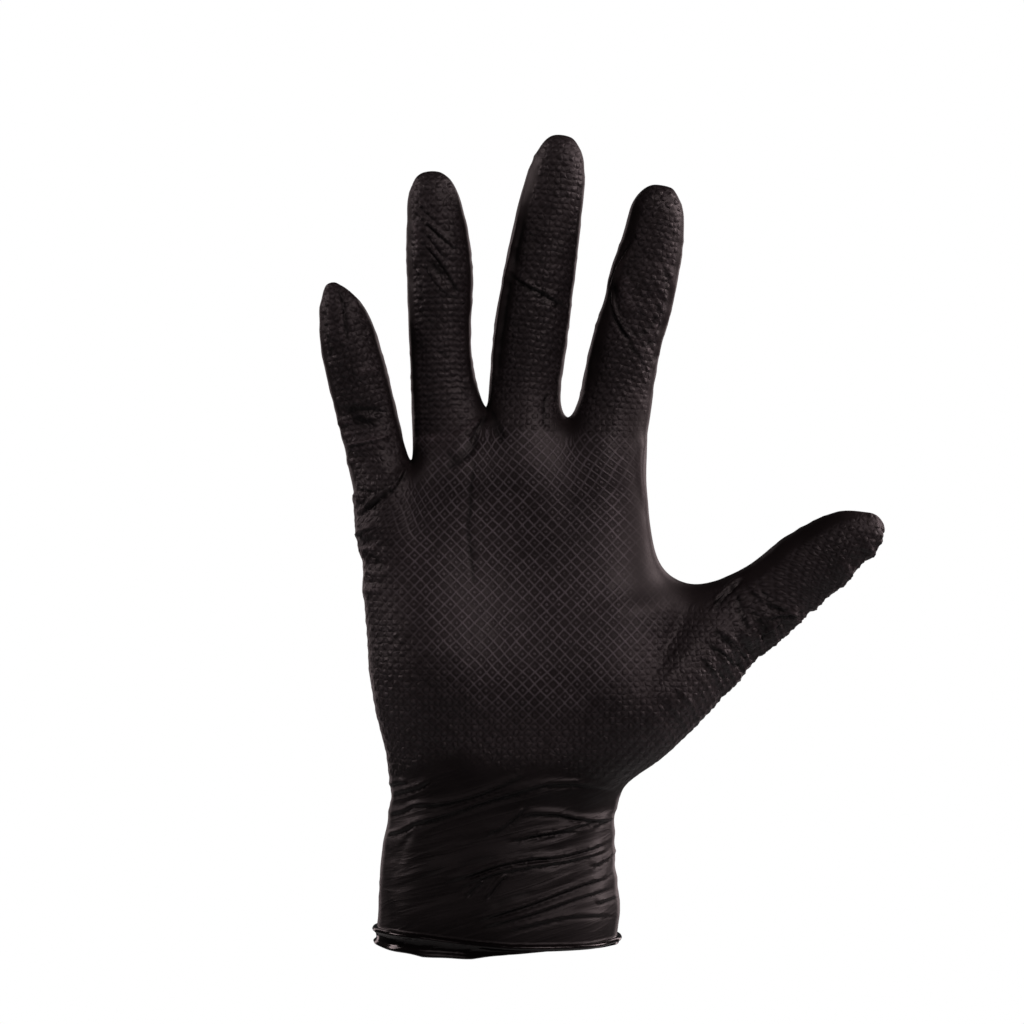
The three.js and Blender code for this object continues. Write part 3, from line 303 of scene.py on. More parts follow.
    ("line", 0.5, 0.6, [(41.3, 175.0), (46.5, 175.6)]),
    ("valley", 0.5, 0.7, [(44.8, 170.9), (47.1, 171.8)]),
    ("ridge", 0.3, 0.5, [(43.6, 150.2), (41.8, 143.8), (41.6, 136.2), (43.6, 125.1)]),
    # Thumb, finer
    ("pleat", 0.5, 0.8, [(62.6, 99.7), (65.8, 102.9), (69.0, 105.9), (71.6, 107.3)]),
    ("line", 0.8, 0.5, [(62.0, 98.6), (65.5, 101.8), (69.3, 105.0)]),
    ("line", 0.8, 0.7, [(60.2, 89.5), (62.8, 86.6), (65.8, 84.3), (71.9, 79.6)]),
    ("line", 0.6, 0.6, [(62.3, 92.4), (65.8, 88.9), (70.4, 86.6)]),
    ("line", 0.6, 0.6, [(68.7, 103.5), (70.7, 98.9), (72.8, 92.4)]),
    ("line", 0.6, 0.6, [(71.9, 99.4), (75.7, 95.4), (79.5, 90.1)]),
    ("line", 0.5, 0.6, [(58.8, 84.6), (62.3, 80.8), (66.9, 76.7)]),
    ("line", 0.5, 0.6, [(75.4, 104.1), (79.8, 100.0), (83.8, 97.1)]),
]
# Folds of the back, in the XZ plane
backFolds = [
    ("pleat", 0.9, 1.6, [(-33.0, 36.0), (-14.0, 40.5), (6.0, 43.0), (24.0, 42.0), (35.0, 44.0)]),
    ("ridge", 0.6, 1.3, [(-28.0, 27.0), (-6.0, 31.0), (16.0, 32.5), (34.0, 35.0)]),
    ("valley", 0.6, 1.3, [(-32.0, 15.0), (-12.0, 20.0), (8.0, 23.0), (26.0, 27.0)]),
    ("pleat", 0.6, 1.3, [(-20.0, 6.5), (2.0, 10.0), (20.0, 14.5), (34.0, 17.0)]),
    ("valley", 0.5, 1.4, [(-48.0, 165.0), (-40.0, 167.0), (-31.0, 166.0)]),
    ("valley", 0.5, 1.4, [(-27.0, 185.0), (-18.0, 186.0), (-8.5, 185.0)]),
    ("valley", 0.5, 1.4, [(3.0, 192.0), (13.0, 193.0), (23.5, 191.0)]),
    ("valley", 0.5, 1.4, [(30.0, 182.0), (39.0, 182.0), (48.0, 179.0)]),
    ("ridge", 0.5, 1.6, [(-22.0, 60.0), (-8.0, 72.0), (2.0, 90.0)]),
    ("ridge", 0.5, 1.6, [(20.0, 56.0), (30.0, 70.0), (42.0, 84.0)]),
]


def arch(t, power):
    return max(0.0, 1.0 - abs(t) ** power) ** (1.0 / power)


def mix(a, b, t):
    return a + (b - a) * t


def smooth(value, start, end):
    t = np.clip((value - start) / (end - start), 0.0, 1.0)
    return t * t * (3.0 - 2.0 * t)


def palmPoint(corner):
    across, up = corner
    return np.array([across * glove["palmBreadth"], glove["cuffLength"] + up * glove["palmLength"]])


for digit in digits:
    lean = radians(digit["lean"])
    digit["rootAt"] = palmPoint(digit["root"])
    digit["axis"] = np.array([sin(lean), cos(lean)])
    digit["across"] = np.array([cos(lean), -sin(lean)])

# Zones of the net: 0 is palm and cuff, and the digits count from 1
indexZone, thumbZone = 4, 5
thumb = digits[thumbZone - 1]

# Base net of the skin, and where each of its points lies in the grip pattern
gripPitch = {"across": 3.45, "along": 3.5}
spots, zones, grips, quads = [], [], [], []


def addSpot(x, y, z, zone):
    spots.append(np.array([x, y, z], float))
    zones.append(zone)
    grips.append([0.0, 0.0])
    return len(spots) - 1


def patternOf(loop, origin, acrossWay, alongWay, anchor, shift=0.0):
    # the pattern lies flat on front and back, and follows the film's length where it turns steep
    places = {}
    for part, ids in loop.items():
        p = np.array([spots[spotId] for spotId in ids])
        flat = p[:, [0, 2]] - origin
        places[part] = np.stack([flat @ acrossWay, p[:, 1], flat @ alongWay], axis=1)
    across = {}
    for part in ("front", "back"):
        p = places[part]
        steps = np.diff(p[:, :2], axis=0)
        extra = np.maximum(np.hypot(steps[:, 0], steps[:, 1]) - 1.2 * np.abs(steps[:, 0]), 0)
        total = np.concatenate([[0], np.cumsum(extra)])
        across[part] = p[:, 0] + total - total[anchor]
    for part, end, sign in (("right", -1, 1), ("left", 0, -1)):
        path = np.concatenate([places["front"][[end]], places[part], places["back"][[end]]])[:, :2]
        gaps = np.linalg.norm(np.diff(path, axis=0), axis=1)
        fromFront = across["front"][end] + sign * np.cumsum(gaps)[:-1]
        fromBack = across["back"][end] + sign * np.cumsum(gaps[::-1])[:-1][::-1]
        k = np.arange(1, len(path) - 1)
        across[part] = np.where(k <= len(path) // 2, fromFront, fromBack)
    pattern = {}
    for part in loop:
        along = places[part][:, 2] / gripPitch["along"]
        pattern[part] = np.stack([across[part] / gripPitch["across"] + shift, along], axis=1)
    return pattern


palmFrame = (np.zeros(2), np.array([1.0, 0.0]), np.array([0.0, 1.0]))


def layPattern(loop, pattern):
    for part, ids in loop.items():
        for spotId, place in zip(ids, pattern[part]):
            grips[spotId] = list(place)


def ringOf(loop):
    return loop["front"] + loop["right"] + loop["back"][::-1] + loop["left"][::-1]


def stitch(lower, upper):
    a, b = ringOf(lower), ringOf(upper)
    for i in range(len(a)):
        j = (i + 1) % len(a)
        quads.append([a[i], a[j], b[j], b[i]])


def edgePath(frontId, backId, crest, zone):
    front, back = spots[frontId], spots[backId]
    middle, half = (front + back) / 2, (back - front) / 2
    reach = np.array([crest[0], middle[1], crest[1]]) - middle
    path = []
    for k in range(1, sideSteps):
        angle = pi * (k / sideSteps - 0.5)
        path.append(addSpot(*(middle + reach * cos(angle) + half * sin(angle)), zone))
    return path


def sleeveRow(count, frontDepth, backDepth, place, leftCrest, rightCrest):
    front, back = [], []
    for c in range(count + 1):
        nearAt, farAt = place(c, "palmSide"), place(c, "backSide")
        front.append(addSpot(nearAt[0], -frontDepth(c), nearAt[1], 0))
        back.append(addSpot(farAt[0], backDepth(c), farAt[1], 0))
    left = edgePath(front[0], back[0], leftCrest, 0)
    right = edgePath(front[-1], back[-1], rightCrest, 0)
    return {"front": front, "right": right, "back": back, "left": left}


def acrossOf(c, groups, inset):
    g = min(c // columns, groups - 1)
    start = inset if g == 0 else g / groups
    end = 1 - inset if g == groups - 1 else (g + 1) / groups
    return mix(start, end, c / columns - g)


fullColumns = 5 * columns
fingerColumns = 4 * columns


def domed(t, depth, power, leftCorner=None, rightCorner=None):
    natural = depth * arch(cornerReach, power)
    corner = leftCorner if t < 0 else rightCorner
    corner = natural if corner is None else corner
    return depth * arch(cornerReach * t, power) + (corner - natural) * t ** 4


def rimAt(across, side):
    table = rim[side]
    low = float(np.interp(across, table["across"], table["low"]))
    return low, float(np.interp(across, table["across"], table["band"]))


def cuffCorner(v, side):
    breadth = mix(glove["openingBreadth"], glove["wristBreadth"], v)
    return float(np.interp(v, edges["cuff"]["up"], edges["cuff"][side])) * breadth


def cuffRow(v):
    left, right = cuffCorner(v, "left"), cuffCorner(v, "right")
    half = mix(glove["openingDepth"], glove["wristDepth"], float(smooth(v, 0, 1))) / 2

    def height(across, side):
        return mix(sum(rimAt(across, side)), glove["cuffLength"], v)

    def depth(c):
        return domed(2 * c / fullColumns - 1, half, 2.1)

    def place(c, side):
        u = acrossOf(c, 5, insets["cuff"])
        return mix(left, right, u), height(u, side)

    return sleeveRow(fullColumns, depth, depth, place, (left, height(0, "backSide")),
                     (right, height(1, "backSide")))


wristLeft = np.array([cuffCorner(1, "left"), glove["cuffLength"]])
wristRight = np.array([cuffCorner(1, "right"), glove["cuffLength"]])
littleRoot = palmPoint(corners["littleRoot"])
indexRoot = palmPoint(corners["indexRoot"])
webCrests = [palmPoint(web) for web in corners["webs"]]
thumbWeb = palmPoint(corners["thumbWeb"])
thumbFoot = palmPoint(corners["thumbFoot"])


def alongEdge(table, start, end, v):
    across = float(np.interp(v, table["up"], table["across"]))
    return np.array([mix(start[0], end[0], across), mix(start[1], end[1], v)])


thumbWebLeft = alongEdge(edges["little"], wristLeft, littleRoot, corners["thumbWebLevel"])
thumbWebFront = thumbWeb - np.array([0, glove["thumbWebDrop"]])


def thumbWebLine(u):
    if u < 0.8:
        return mix(thumbWebLeft, thumbWebFront, u / 0.8)
    return mix(thumbWebFront, thumbFoot, (u - 0.8) / 0.2)


def lowerRow(v):
    left = alongEdge(edges["little"], wristLeft, littleRoot, v * corners["thumbWebLevel"])
    right = alongEdge(edges["thumb"], wristRight, thumbFoot, v)
    pullLeft = left - mix(wristLeft, thumbWebLeft, v)
    pullRight = right - mix(wristRight, thumbFoot, v)
    inset = mix(insets["cuff"], insets["thumbWeb"], v)
    split = float(smooth(v, 0.3, 1))

    def depthOf(share):
        def depth(c):
            body = mix(glove["wristDepth"], glove["heelDepth"], v) * share
            whole = domed(2 * c / fullColumns - 1, body, mix(2.1, 2.5, v))
            web = glove["thumbWebThickness"] / 2
            if c > fingerColumns:
                t = 2 * (c - fingerColumns) / columns - 1
                parted = domed(t, glove["thumbRootDepth"] * share, 2.2, web)
            else:
                parted = domed(2 * c / fingerColumns - 1, body, 2.5, None, web)
            return mix(whole, parted, split)
        return depth

    def place(c, side):
        u = acrossOf(c, 5, inset)
        base = mix(mix(wristLeft, wristRight, u), thumbWebLine(u), v)
        return base + mix(pullLeft, pullRight, u)

    palmSide, backSide = depthOf(mix(0.5, 0.54, v)), depthOf(mix(0.5, 0.46, v))
    return sleeveRow(fullColumns, palmSide, backSide, place, left, right)


knuckleLine = [littleRoot] + [web - np.array([0, glove["webDrop"]]) for web in webCrests] + [indexRoot]


def knucklePlace(c):
    u = acrossOf(c, 4, insets["knuckles"]) * 4
    g = min(int(u), 3)
    return mix(knuckleLine[g], knuckleLine[g + 1], u - g)


def upperRow(v, start):
    left = alongEdge(edges["little"], wristLeft, littleRoot, mix(corners["thumbWebLevel"], 1, v))
    right = alongEdge(edges["index"], thumbWeb, indexRoot, v)
    pullLeft = left - mix(thumbWebLeft, littleRoot, v)
    pullRight = right - mix(thumbWeb, indexRoot, v)
    split = float(smooth(v, 0.45, 1))

    def depthOf(share):
        def depth(c):
            body = mix(glove["heelDepth"], glove["knuckleDepth"], v) * share
            rightDepth = mix(glove["thumbWebThickness"] / 2, body * arch(cornerReach, 2.5), v)
            whole = domed(2 * c / fingerColumns - 1, body, 2.5, None, rightDepth)
            g = min(c // columns, 3)
            web = glove["webThickness"] / 2
            t = 2 * (c / columns - g) - 1
            parted = domed(t, body, 2.2, None if g == 0 else web, None if g == 3 else web)
            return mix(whole, parted, split)
        return depth

    def place(c, side):
        below = spots[start["front"][c]]
        base = mix(below[[0, 2]], knucklePlace(c), v)
        return base + mix(pullLeft, pullRight, c / fingerColumns)

    palmSide, backSide = depthOf(mix(0.54, 0.52, v)), depthOf(mix(0.46, 0.48, v))
    return sleeveRow(fingerColumns, palmSide, backSide, place, left, right)


def unitSection():
    power, reach = digitForm["sectionPower"], cos(digitForm["cornerAngle"])
    rise = arch(reach, power)
    xs = [reach * (2 * c / columns - 1) for c in range(columns + 1)]
    angles = [pi * ((k + 1) / sideSteps - 0.5) for k in range(sideSteps - 1)]
    return {
        "front": [(x, -arch(x, power)) for x in xs],
        "right": [(mix(reach, 1, cos(a)), sin(a) * rise) for a in angles],
        "back": [(x, arch(x, power)) for x in xs],
        "left": [(-mix(reach, 1, cos(a)), sin(a) * rise) for a in angles],
    }


def onDigit(digit, along, spot):
    share = along / digit["length"]
    breadth = float(np.interp(share, digit["along"], digit["breadth"]))
    shift = float(np.interp(share, digit["along"], digit["shift"])) * digit["width"]
    sideways = shift + spot[0] * breadth * digit["width"] / 2
    flat = digit["rootAt"] + digit["axis"] * along + digit["across"] * sideways
    forward = digit["rise"] * min(max(share, 0), 1) ** 1.6
    return np.array([flat[0], spot[1] * breadth * digit["thickness"] / 2 - forward, flat[1]])


def growDigit(digit, zone, rootLoop):
    section = unitSection()
    blends = digit.get("blends", (glove["rootBlend"], glove["rootBlend"]))
    end = digitForm["tipStart"] * digit["length"]
    feet = {}
    for part, ids in rootLoop.items():
        feet[part] = []
        for i, spotId in enumerate(ids):
            p = spots[spotId]
            along = float((p[[0, 2]] - digit["rootAt"]) @ digit["axis"])
            feet[part].append((along, p - onDigit(digit, along, section[part][i])))
    below = rootLoop
    # the pattern turns from the palm's way to the digit's own
    anchor = columns // 2
    rootSpot = rootLoop["front"][anchor]
    shift = grips[rootSpot][0] - spots[rootSpot][0] / gripPitch["across"]
    ownStart = digit["rootAt"] / [gripPitch["across"], gripPitch["along"]] + [shift, 0]
    for row in range(1, digit["rows"] + 1):
        loop = {}
        for part, starts in feet.items():
            loop[part] = []
            for i, (foot, off) in enumerate(starts):
                along = mix(foot, end, row / digit["rows"])
                reach = mix(*blends, (section[part][i][0] + 1) / 2)
                fade = 1 - float(smooth(along - foot, 0, reach))
                loop[part].append(addSpot(*(onDigit(digit, along, section[part][i]) + off * fade), zone))
        stitch(below, loop)
        onPalm = patternOf(loop, *palmFrame, anchor, shift)
        own = patternOf(loop, digit["rootAt"], digit["across"], digit["axis"], anchor)
        turned = float(smooth(row / digit["rows"] * end, 0, digit.get("turnOver", 20.0)))
        layPattern(loop, {part: mix(onPalm[part], own[part] + ownStart, turned) for part in loop})
        below = loop
    closeTip(digit, zone, below)


def closeTip(digit, zone, loop):
    left = [loop["front"][0]] + loop["left"] + [loop["back"][0]]
    right = [loop["front"][-1]] + loop["right"] + [loop["back"][-1]]
    height = (1 - digitForm["tipStart"]) * digit["length"]
    grid = []
    for j in range(sideSteps + 1):
        v, line = j / sideSteps, []
        for i in range(columns + 1):
            u = i / columns
            if i == 0:
                line.append(left[j])
            elif i == columns:
                line.append(right[j])
            elif j in (0, sideSteps):
                line.append(loop["front" if j == 0 else "back"][i])
            else:
                flat = mix(mix(spots[left[j]], spots[right[j]], u),
                           mix(spots[loop["front"][i]], spots[loop["back"][i]], v), 0.5)
                dome = height * sqrt((1 - (2 * u - 1) ** 2) * (1 - (2 * v - 1) ** 2))
                side, up = digit["axis"] * dome
                spotId = addSpot(flat[0] + side, flat[1], flat[2] + up, zone)
                foot = loop["front"][i]
                rise = np.linalg.norm(spots[spotId] - spots[foot]) / gripPitch["along"]
                grips[spotId] = [grips[foot][0], grips[foot][1] + rise]
                line.append(spotId)
        grid.append(line)
    for j in range(sideSteps):
        for i in range(columns):
            quads.append([grid[j][i], grid[j][i + 1], grid[j + 1][i + 1], grid[j + 1][i]])


def sliceOf(loop, start, end, left, right):
    front, back = (loop[side][start:end + 1] for side in ("front", "back"))
    return {"front": front, "right": right, "back": back, "left": left}


row = cuffRow(0)
mouthRing = ringOf(row)
palmAnchor = 2 * columns
layPattern(row, patternOf(row, *palmFrame, palmAnchor))
for count, makeRow in ((glove["cuffRows"], cuffRow), (glove["lowerRows"], lowerRow)):
    for r in range(1, count + 1):
        above = makeRow(r / count)
        stitch(row, above)
        layPattern(above, patternOf(above, *palmFrame, palmAnchor))
        row = above
thumbCrest = edgePath(row["front"][fingerColumns], row["back"][fingerColumns], thumbWeb, 0)
growDigit(thumb, thumbZone, sliceOf(row, fingerColumns, fullColumns, thumbCrest, row["right"]))
upperStart = sliceOf(row, 0, fingerColumns, row["left"], thumbCrest)
row = upperStart
for r in range(1, glove["upperRows"] + 1):
    above = upperRow(r / glove["upperRows"], upperStart)
    stitch(row, above)
    layPattern(above, patternOf(above, *palmFrame, palmAnchor))
    row = above
borders = [row["left"]]
for g, web in enumerate(webCrests):
    c = (g + 1) * columns
    borders.append(edgePath(row["front"][c], row["back"][c], web, 0))
borders.append(row["right"])
for g in range(4):
    growDigit(digits[g], g + 1, sliceOf(row, g * columns, (g + 1) * columns, borders[g], borders[g + 1]))

net = np.array(spots)
netFaces = np.array(quads)
netZones = np.array(zones)
netGrips = np.array(grips)
print("base net:", len(netFaces), "quads")

# The net is eased before its folds: webs are rounded off, and the palm below the fingers is levelled
easing = {
    "webPasses": 4,
    "webPull": 0.5,
    "webReach": 0.75,
    "palmPasses": 8,
    "palmPull": 0.6,
    "palmFrom": (108, 130),
    "palmTo": (158, 172),
    "palmRight": 48,
}


def quadSides(faces):
    # each pair of points that a side joins, once
    sides = np.concatenate([faces[:, [k, (k + 1) % 4]] for k in range(4)])
    return np.unique(np.sort(sides, axis=1), axis=0)


def webGap(points):
    # distance to the nearest web, seen from the palm
    centres = np.array(webCrests + [thumbWeb])
    return np.linalg.norm(points[:, None, [0, 2]] - centres[None], axis=2).min(axis=1)


def relaxWebs(points, faces):
    reach = glove["rootBlend"] * easing["webReach"]
    weight = easing["webPull"] * np.exp(-(webGap(points) / reach) ** 2)
    pairs = quadSides(faces)
    for _ in range(easing["webPasses"]):
        total, count = np.zeros_like(points), np.zeros(len(points))
        for a, b in ((0, 1), (1, 0)):
            np.add.at(total, pairs[:, a], points[pairs[:, b]])
            np.add.at(count, pairs[:, a], 1)
        points = mix(points, total / count[:, None], weight[:, None])
    return points


def levelPalm(points, faces):
    # the film spans the hollows below the fingers
    x, y, z = points.T
    weight = smooth(z, *easing["palmFrom"]) * (1 - smooth(z, *easing["palmTo"])) * smooth(-y, 1, 5)
    weight = np.where(x < easing["palmRight"], easing["palmPull"] * weight, 0)
    pairs = quadSides(faces)
    count = np.bincount(pairs.reshape(-1), minlength=len(points))
    for _ in range(easing["palmPasses"]):
        total = np.zeros(len(points))
        np.add.at(total, pairs[:, 0], points[pairs[:, 1], 1])
        np.add.at(total, pairs[:, 1], points[pairs[:, 0], 1])
        points[:, 1] = mix(points[:, 1], total / count, weight)
    return points


def refine(points, faces, ring, zone):
    # one round of smooth subdivision: each quad becomes four
    count = len(points)
    pairs = np.sort(np.stack([faces, np.roll(faces, -1, axis=1)], axis=2).reshape(-1, 2), axis=1)
    unique, index, uses = np.unique(pairs, axis=0, return_inverse=True, return_counts=True)
    index = index.reshape(-1, 4)
    centre = points[faces].mean(axis=1)
    middle = points[unique].mean(axis=1)
    around = np.zeros_like(middle)
    for k in range(4):
        np.add.at(around, index[:, k], centre)
    border = uses == 1
    edgeSpot = np.where(border[:, None], middle, (middle * 2 + around) / 4)
    faceSum, faceUses = np.zeros_like(points), np.zeros(count)
    for k in range(4):
        np.add.at(faceSum, faces[:, k], centre)
        np.add.at(faceUses, faces[:, k], 1)
    edgeSum, edgeUses = np.zeros_like(points), np.zeros(count)
    rimSum, onRim = np.zeros_like(points), np.zeros(count, bool)
    for k in (0, 1):
        np.add.at(edgeSum, unique[:, k], middle)
        np.add.at(edgeUses, unique[:, k], 1)
        np.add.at(rimSum, unique[border, k], points[unique[border, 1 - k]])
        onRim[unique[border, k]] = True
    n = faceUses[:, None]
    moved = (faceSum / n + 2 * edgeSum / edgeUses[:, None] + (n - 3) * points) / n
    moved[onRim] = (6 * points[onRim] + rimSum[onRim]) / 8
    fine = np.concatenate([moved, edgeSpot, centre])
    edgeId, faceId = count + index, count + len(unique) + np.arange(len(faces))
    fineFaces = []
    for k in range(4):
        fineFaces.append(np.stack([faces[:, k], edgeId[:, k], faceId, edgeId[:, (k + 3) % 4]], axis=1))
    rimLookup = {tuple(pair): count + i for i, pair in enumerate(unique.tolist()) if border[i]}
    fineRing = []
    for a, b in zip(ring, ring[1:] + ring[:1]):
        fineRing += [a, rimLookup[(min(a, b), max(a, b))]]
    fineZone = np.concatenate([zone, zone[unique].max(axis=1), zone[faces].max(axis=1)])
    return fine, np.concatenate(fineFaces), fineRing, fineZone


def softNoise(places, seed):
    # smooth noise from -1 to 1, with one cell for each unit of places
    table = np.random.default_rng(seed).random((24, 24, 24))
    cell = np.floor(places).astype(int)
    inner = places - cell
    inner = inner * inner * (3 - 2 * inner)
    total = np.zeros(len(places))
    for corner in product((0, 1), repeat=3):
        weight = np.ones(len(places))
        for axis in range(3):
            weight = weight * (inner[:, axis] if corner[axis] else 1 - inner[:, axis])
        at = (cell + np.array(corner)) % 24
        total += weight * table[at[:, 0], at[:, 1], at[:, 2]]
    return total * 2 - 1


def smoothPath(path, steps=6):
    # a curve through a path's points
    points = np.array(path, float)
    if len(points) < 3:
        return points
    ends = np.concatenate([[2 * points[0] - points[1]], points, [2 * points[-1] - points[-2]]])
    line = []
    for i in range(1, len(ends) - 2):
        a, b, c, d = ends[i - 1:i + 3]
        for k in range(steps):
            t = k / steps
            line.append(0.5 * (2 * b + (c - a) * t + (2 * a - 5 * b + 4 * c - d) * t * t
                               + (3 * b - a - 3 * c + d) * t ** 3))
    return np.array(line + [points[-1]])


# The film: its folds, the relief of the grip pattern and the small wrinkles that come of wearing it.
# splits is how many triangles nearest to a fold are made finer, time after time.
film = {
    "splits": [4800, 3500],
    "splitsAbove": 5,
    "foldHeight": 1.0,
    "foldPower": 0.6,
    "foldTaper": 0.22,
    "leastWidth": 0.85,
    "farOff": 9.0,
    "foldRoom": 0.7,
    "puff": 0.16,
    "unevenness": 0.08,
    "unevenCell": 2.1,
    "lumps": 0.9,
    "cuffWrinkle": 0.3,
    "palmWrinkle": 0.14,
    "digitWrinkle": 0.22,
    "tautAt": (11.0, 114.0),
    "tautReach": (38.0, 44.0),
    "cuffEnd": (46, 62),
    "gripStart": [(-36.0, 46.0), (-19.7, 52.5), (2.2, 51.5), (16.8, 51.3), (27.3, 47.2), (37.0, 46.0)],
}
# Cross section of a fold, in widths from its path. Its shade is painted into the colour: a painted highlight
# on the lip, painted shade in the gap and along a line
foldForm = {
    "lip": {"at": 0.6, "reach": 0.6, "shade": 0.35},
    "gap": {"at": -0.3, "reach": 0.4, "lift": 0.75, "shade": 1.5},
    "line": {"lift": 0.3, "reach": 0.7, "shade": 1.6},
    "valleyShade": 1.3,
}
# The photo's point of view
eye = {"x": 3.94, "y": -1100.0, "z": 126.3}


def foldLift(seen, folds):
    # lift and painted shade of the folds at each place (darker in valleys, gaps and lines, lighter on ridges
    # and lips), and how far the nearest pleat or line is
    lift, tone, close = np.zeros(len(seen)), np.zeros(len(seen)), np.full(len(seen), film["farOff"])
    for kind, height, width, path in folds:
        line = smoothPath(path)
        height = film["foldHeight"] * height ** film["foldPower"]
        width = max(width, film["leastWidth"])
        reach = 4 * width
        low, high = line.min(axis=0) - reach, line.max(axis=0) + reach
        near = np.flatnonzero(((seen > low) & (seen < high)).all(axis=1))
        if len(near) == 0:
            continue
        p = seen[near]
        best, side, place = np.full(len(p), 1e9), np.zeros(len(p)), np.zeros(len(p))
        lengths = np.linalg.norm(np.diff(line, axis=0), axis=1)
        starts = np.concatenate([[0], np.cumsum(lengths)])
        for k in range(len(line) - 1):
            step = line[k + 1] - line[k]
            t = np.clip((p - line[k]) @ step / (lengths[k] ** 2), 0, 1)
            off = p - line[k] - t[:, None] * step
            gap = np.linalg.norm(off, axis=1)
            closer = gap < best
            best = np.where(closer, gap, best)
            side = np.where(closer, np.sign(step[0] * off[:, 1] - step[1] * off[:, 0]), side)
            place = np.where(closer, starts[k] + t * lengths[k], place)
        total = starts[-1]
        fadeOver = film["foldTaper"] * total
        taper = smooth(place, -0.1, fadeOver) * smooth(total - place, -0.1, fadeOver)
        apart = best / width
        if kind == "pleat":
            form = [foldForm["lip"], foldForm["gap"]]
            lip, gap = (np.exp(-((side * apart - part["at"]) / part["reach"]) ** 2) for part in form)
            profile = lip - form[1]["lift"] * gap
            shade = form[0]["shade"] * lip - form[1]["shade"] * gap
        elif kind == "line":
            form = foldForm["line"]
            profile = -form["lift"] * np.exp(-apart ** 2)
            shade = -form["shade"] * np.exp(-(apart / form["reach"]) ** 2)
        else:
            profile = np.exp(-apart ** 2) * (1 if kind == "ridge" else -1)
            shade = profile * (1.0 if kind == "ridge" else foldForm["valleyShade"])
        lift[near] += height * profile * taper
        tone[near] += height * shade * taper
        if kind in ("pleat", "line"):
            close[near] = np.minimum(close[near], best)
    return lift, tone, close


def asSeen(points):
    # where each point falls in the XZ plane, seen from the camera
    x, y, z = points.T
    scale = -eye["y"] / (y - eye["y"])
    return np.stack([eye["x"] + (x - eye["x"]) * scale, eye["z"] + (z - eye["z"]) * scale], axis=1)


def digitPlace(points, digit):
    # across and along a digit, in mm from its root
    flat = points[:, [0, 2]] - digit["rootAt"]
    return flat @ digit["across"], flat @ digit["axis"]


def swellLift(points, zone):
    lift = np.zeros(len(points))
    across = points[:, 0] / glove["palmBreadth"]
    up = (points[:, 2] - glove["cuffLength"]) / glove["palmLength"]
    for swell in swells:
        dx = (across - swell["at"][0]) / swell["reach"][0]
        dz = (up - swell["at"][1]) / swell["reach"][1]
        bump = swell["lift"] * glove["heelDepth"] * np.exp(-dx * dx - dz * dz)
        onSide = np.clip(swell["side"] * points[:, 1] / 3, 0, 1)
        lift += swell["side"] * bump * onSide
    return np.where(zone == 0, lift, 0)


# Small wrinkles come from noise: the size of its cells in mm, sideways, in depth and upwards
wrinkleCells = {
    "cuff": (34, 22, 6.2),
    "palm": (9, 9, 14),
    "digitRings": (8, 8, 3.4),
    "digitLength": (3.4, 6, 17),
}


def wrinkleLift(points, zone):
    x, y, z = points.T
    # long slack creases of the cuff, climbing towards the thumb's side
    sideways, upwards = x * 0.95 + z * 0.3, z * 0.95 - x * 0.3 + 2 * np.sin(x / 11)
    climb = np.stack([sideways, y, upwards], axis=1) / wrinkleCells["cuff"]
    creases = 1 - 2 * np.abs(softNoise(climb, 3)) + 0.35 * (1 - 2 * np.abs(softNoise(climb * 2.1 + 7, 4)))
    cuffShare = 1 - smooth(z, 44, 58)
    rimShare = smooth(z, 4, 14)
    lift = film["cuffWrinkle"] * (creases - 0.6) * cuffShare * rimShare
    # soft unevenness of the palm
    lift += film["palmWrinkle"] * softNoise(points / wrinkleCells["palm"], 5) * (1 - cuffShare) * (zone == 0)
    # short cross wrinkles of the digits
    for number, digit in enumerate(digits, 1):
        own = zone == number
        u, v = digitPlace(points[own], digit)
        around = np.stack([u, y[own], v + 1.5 * np.sin(u / 5 + number)], axis=1)
        rings = 1 - 2 * np.abs(softNoise(around / wrinkleCells["digitRings"], 10 + number))
        upright = np.stack([u, y[own], v], axis=1)
        tall = softNoise(upright / wrinkleCells["digitLength"], 20 + number)
        fade = smooth(v, 0, 12)
        lift[own] += film["digitWrinkle"] * (0.7 * (rings - 0.4) + 0.5 * tall) * fade
    return lift


# Lumps of slack film come from noise. thumbCells is how many cells go into a mm along, in depth and across
# the thumb, and edgeCells the same by x, y and z. The other pairs are places in mm.
lumpForm = {
    "thumbCells": (0.46, 0.1, 0.05),
    "thumbShare": 0.75,
    "thumbPuff": 1.6,
    "heelAcross": (30, 50),
    "heelUp": (56, 70),
    "edgeCells": (0.05, 0.1, 0.36),
    "edgeFrom": (88, 112),
    "edgeTo": (150, 165),
}


def lowSideMask(points, normals, zone):
    # the thumb's lower side, patterned all round and bunched along its edge
    side = np.clip(normals[:, [0, 2]] @ thumb["across"] * 1.6, 0, 1)
    heel = smooth(points[:, 0], *lumpForm["heelAcross"]) * (zone == 0)
    heel = heel * smooth(points[:, 2], *lumpForm["heelUp"])
    return side * np.where(zone == thumbZone, 1, heel)


# Where the grip pattern fades out: places in mm, facing as a share of the normal, strips in half breadths
gripEdge = {
    "waver": 1.6,
    "waverCell": 5.0,
    "lowerEnd": (-2.5, 5.0),
    "digitFacing": (0.36, 0.72),
    "palmFacing": (-0.2, 0.25),
    "stripFade": (0.07, 0.05),
    "stripFrom": (0.02, 0.2),
    "stripTo": (0.86, 0.97),
    "webs": (2, 7),
    "thumbWeb": (4, 11),
    "indexEdgeAcross": (33, 41),
    "indexEdgeFrom": (92, 104),
    "indexEdgeTo": (148, 168),
}


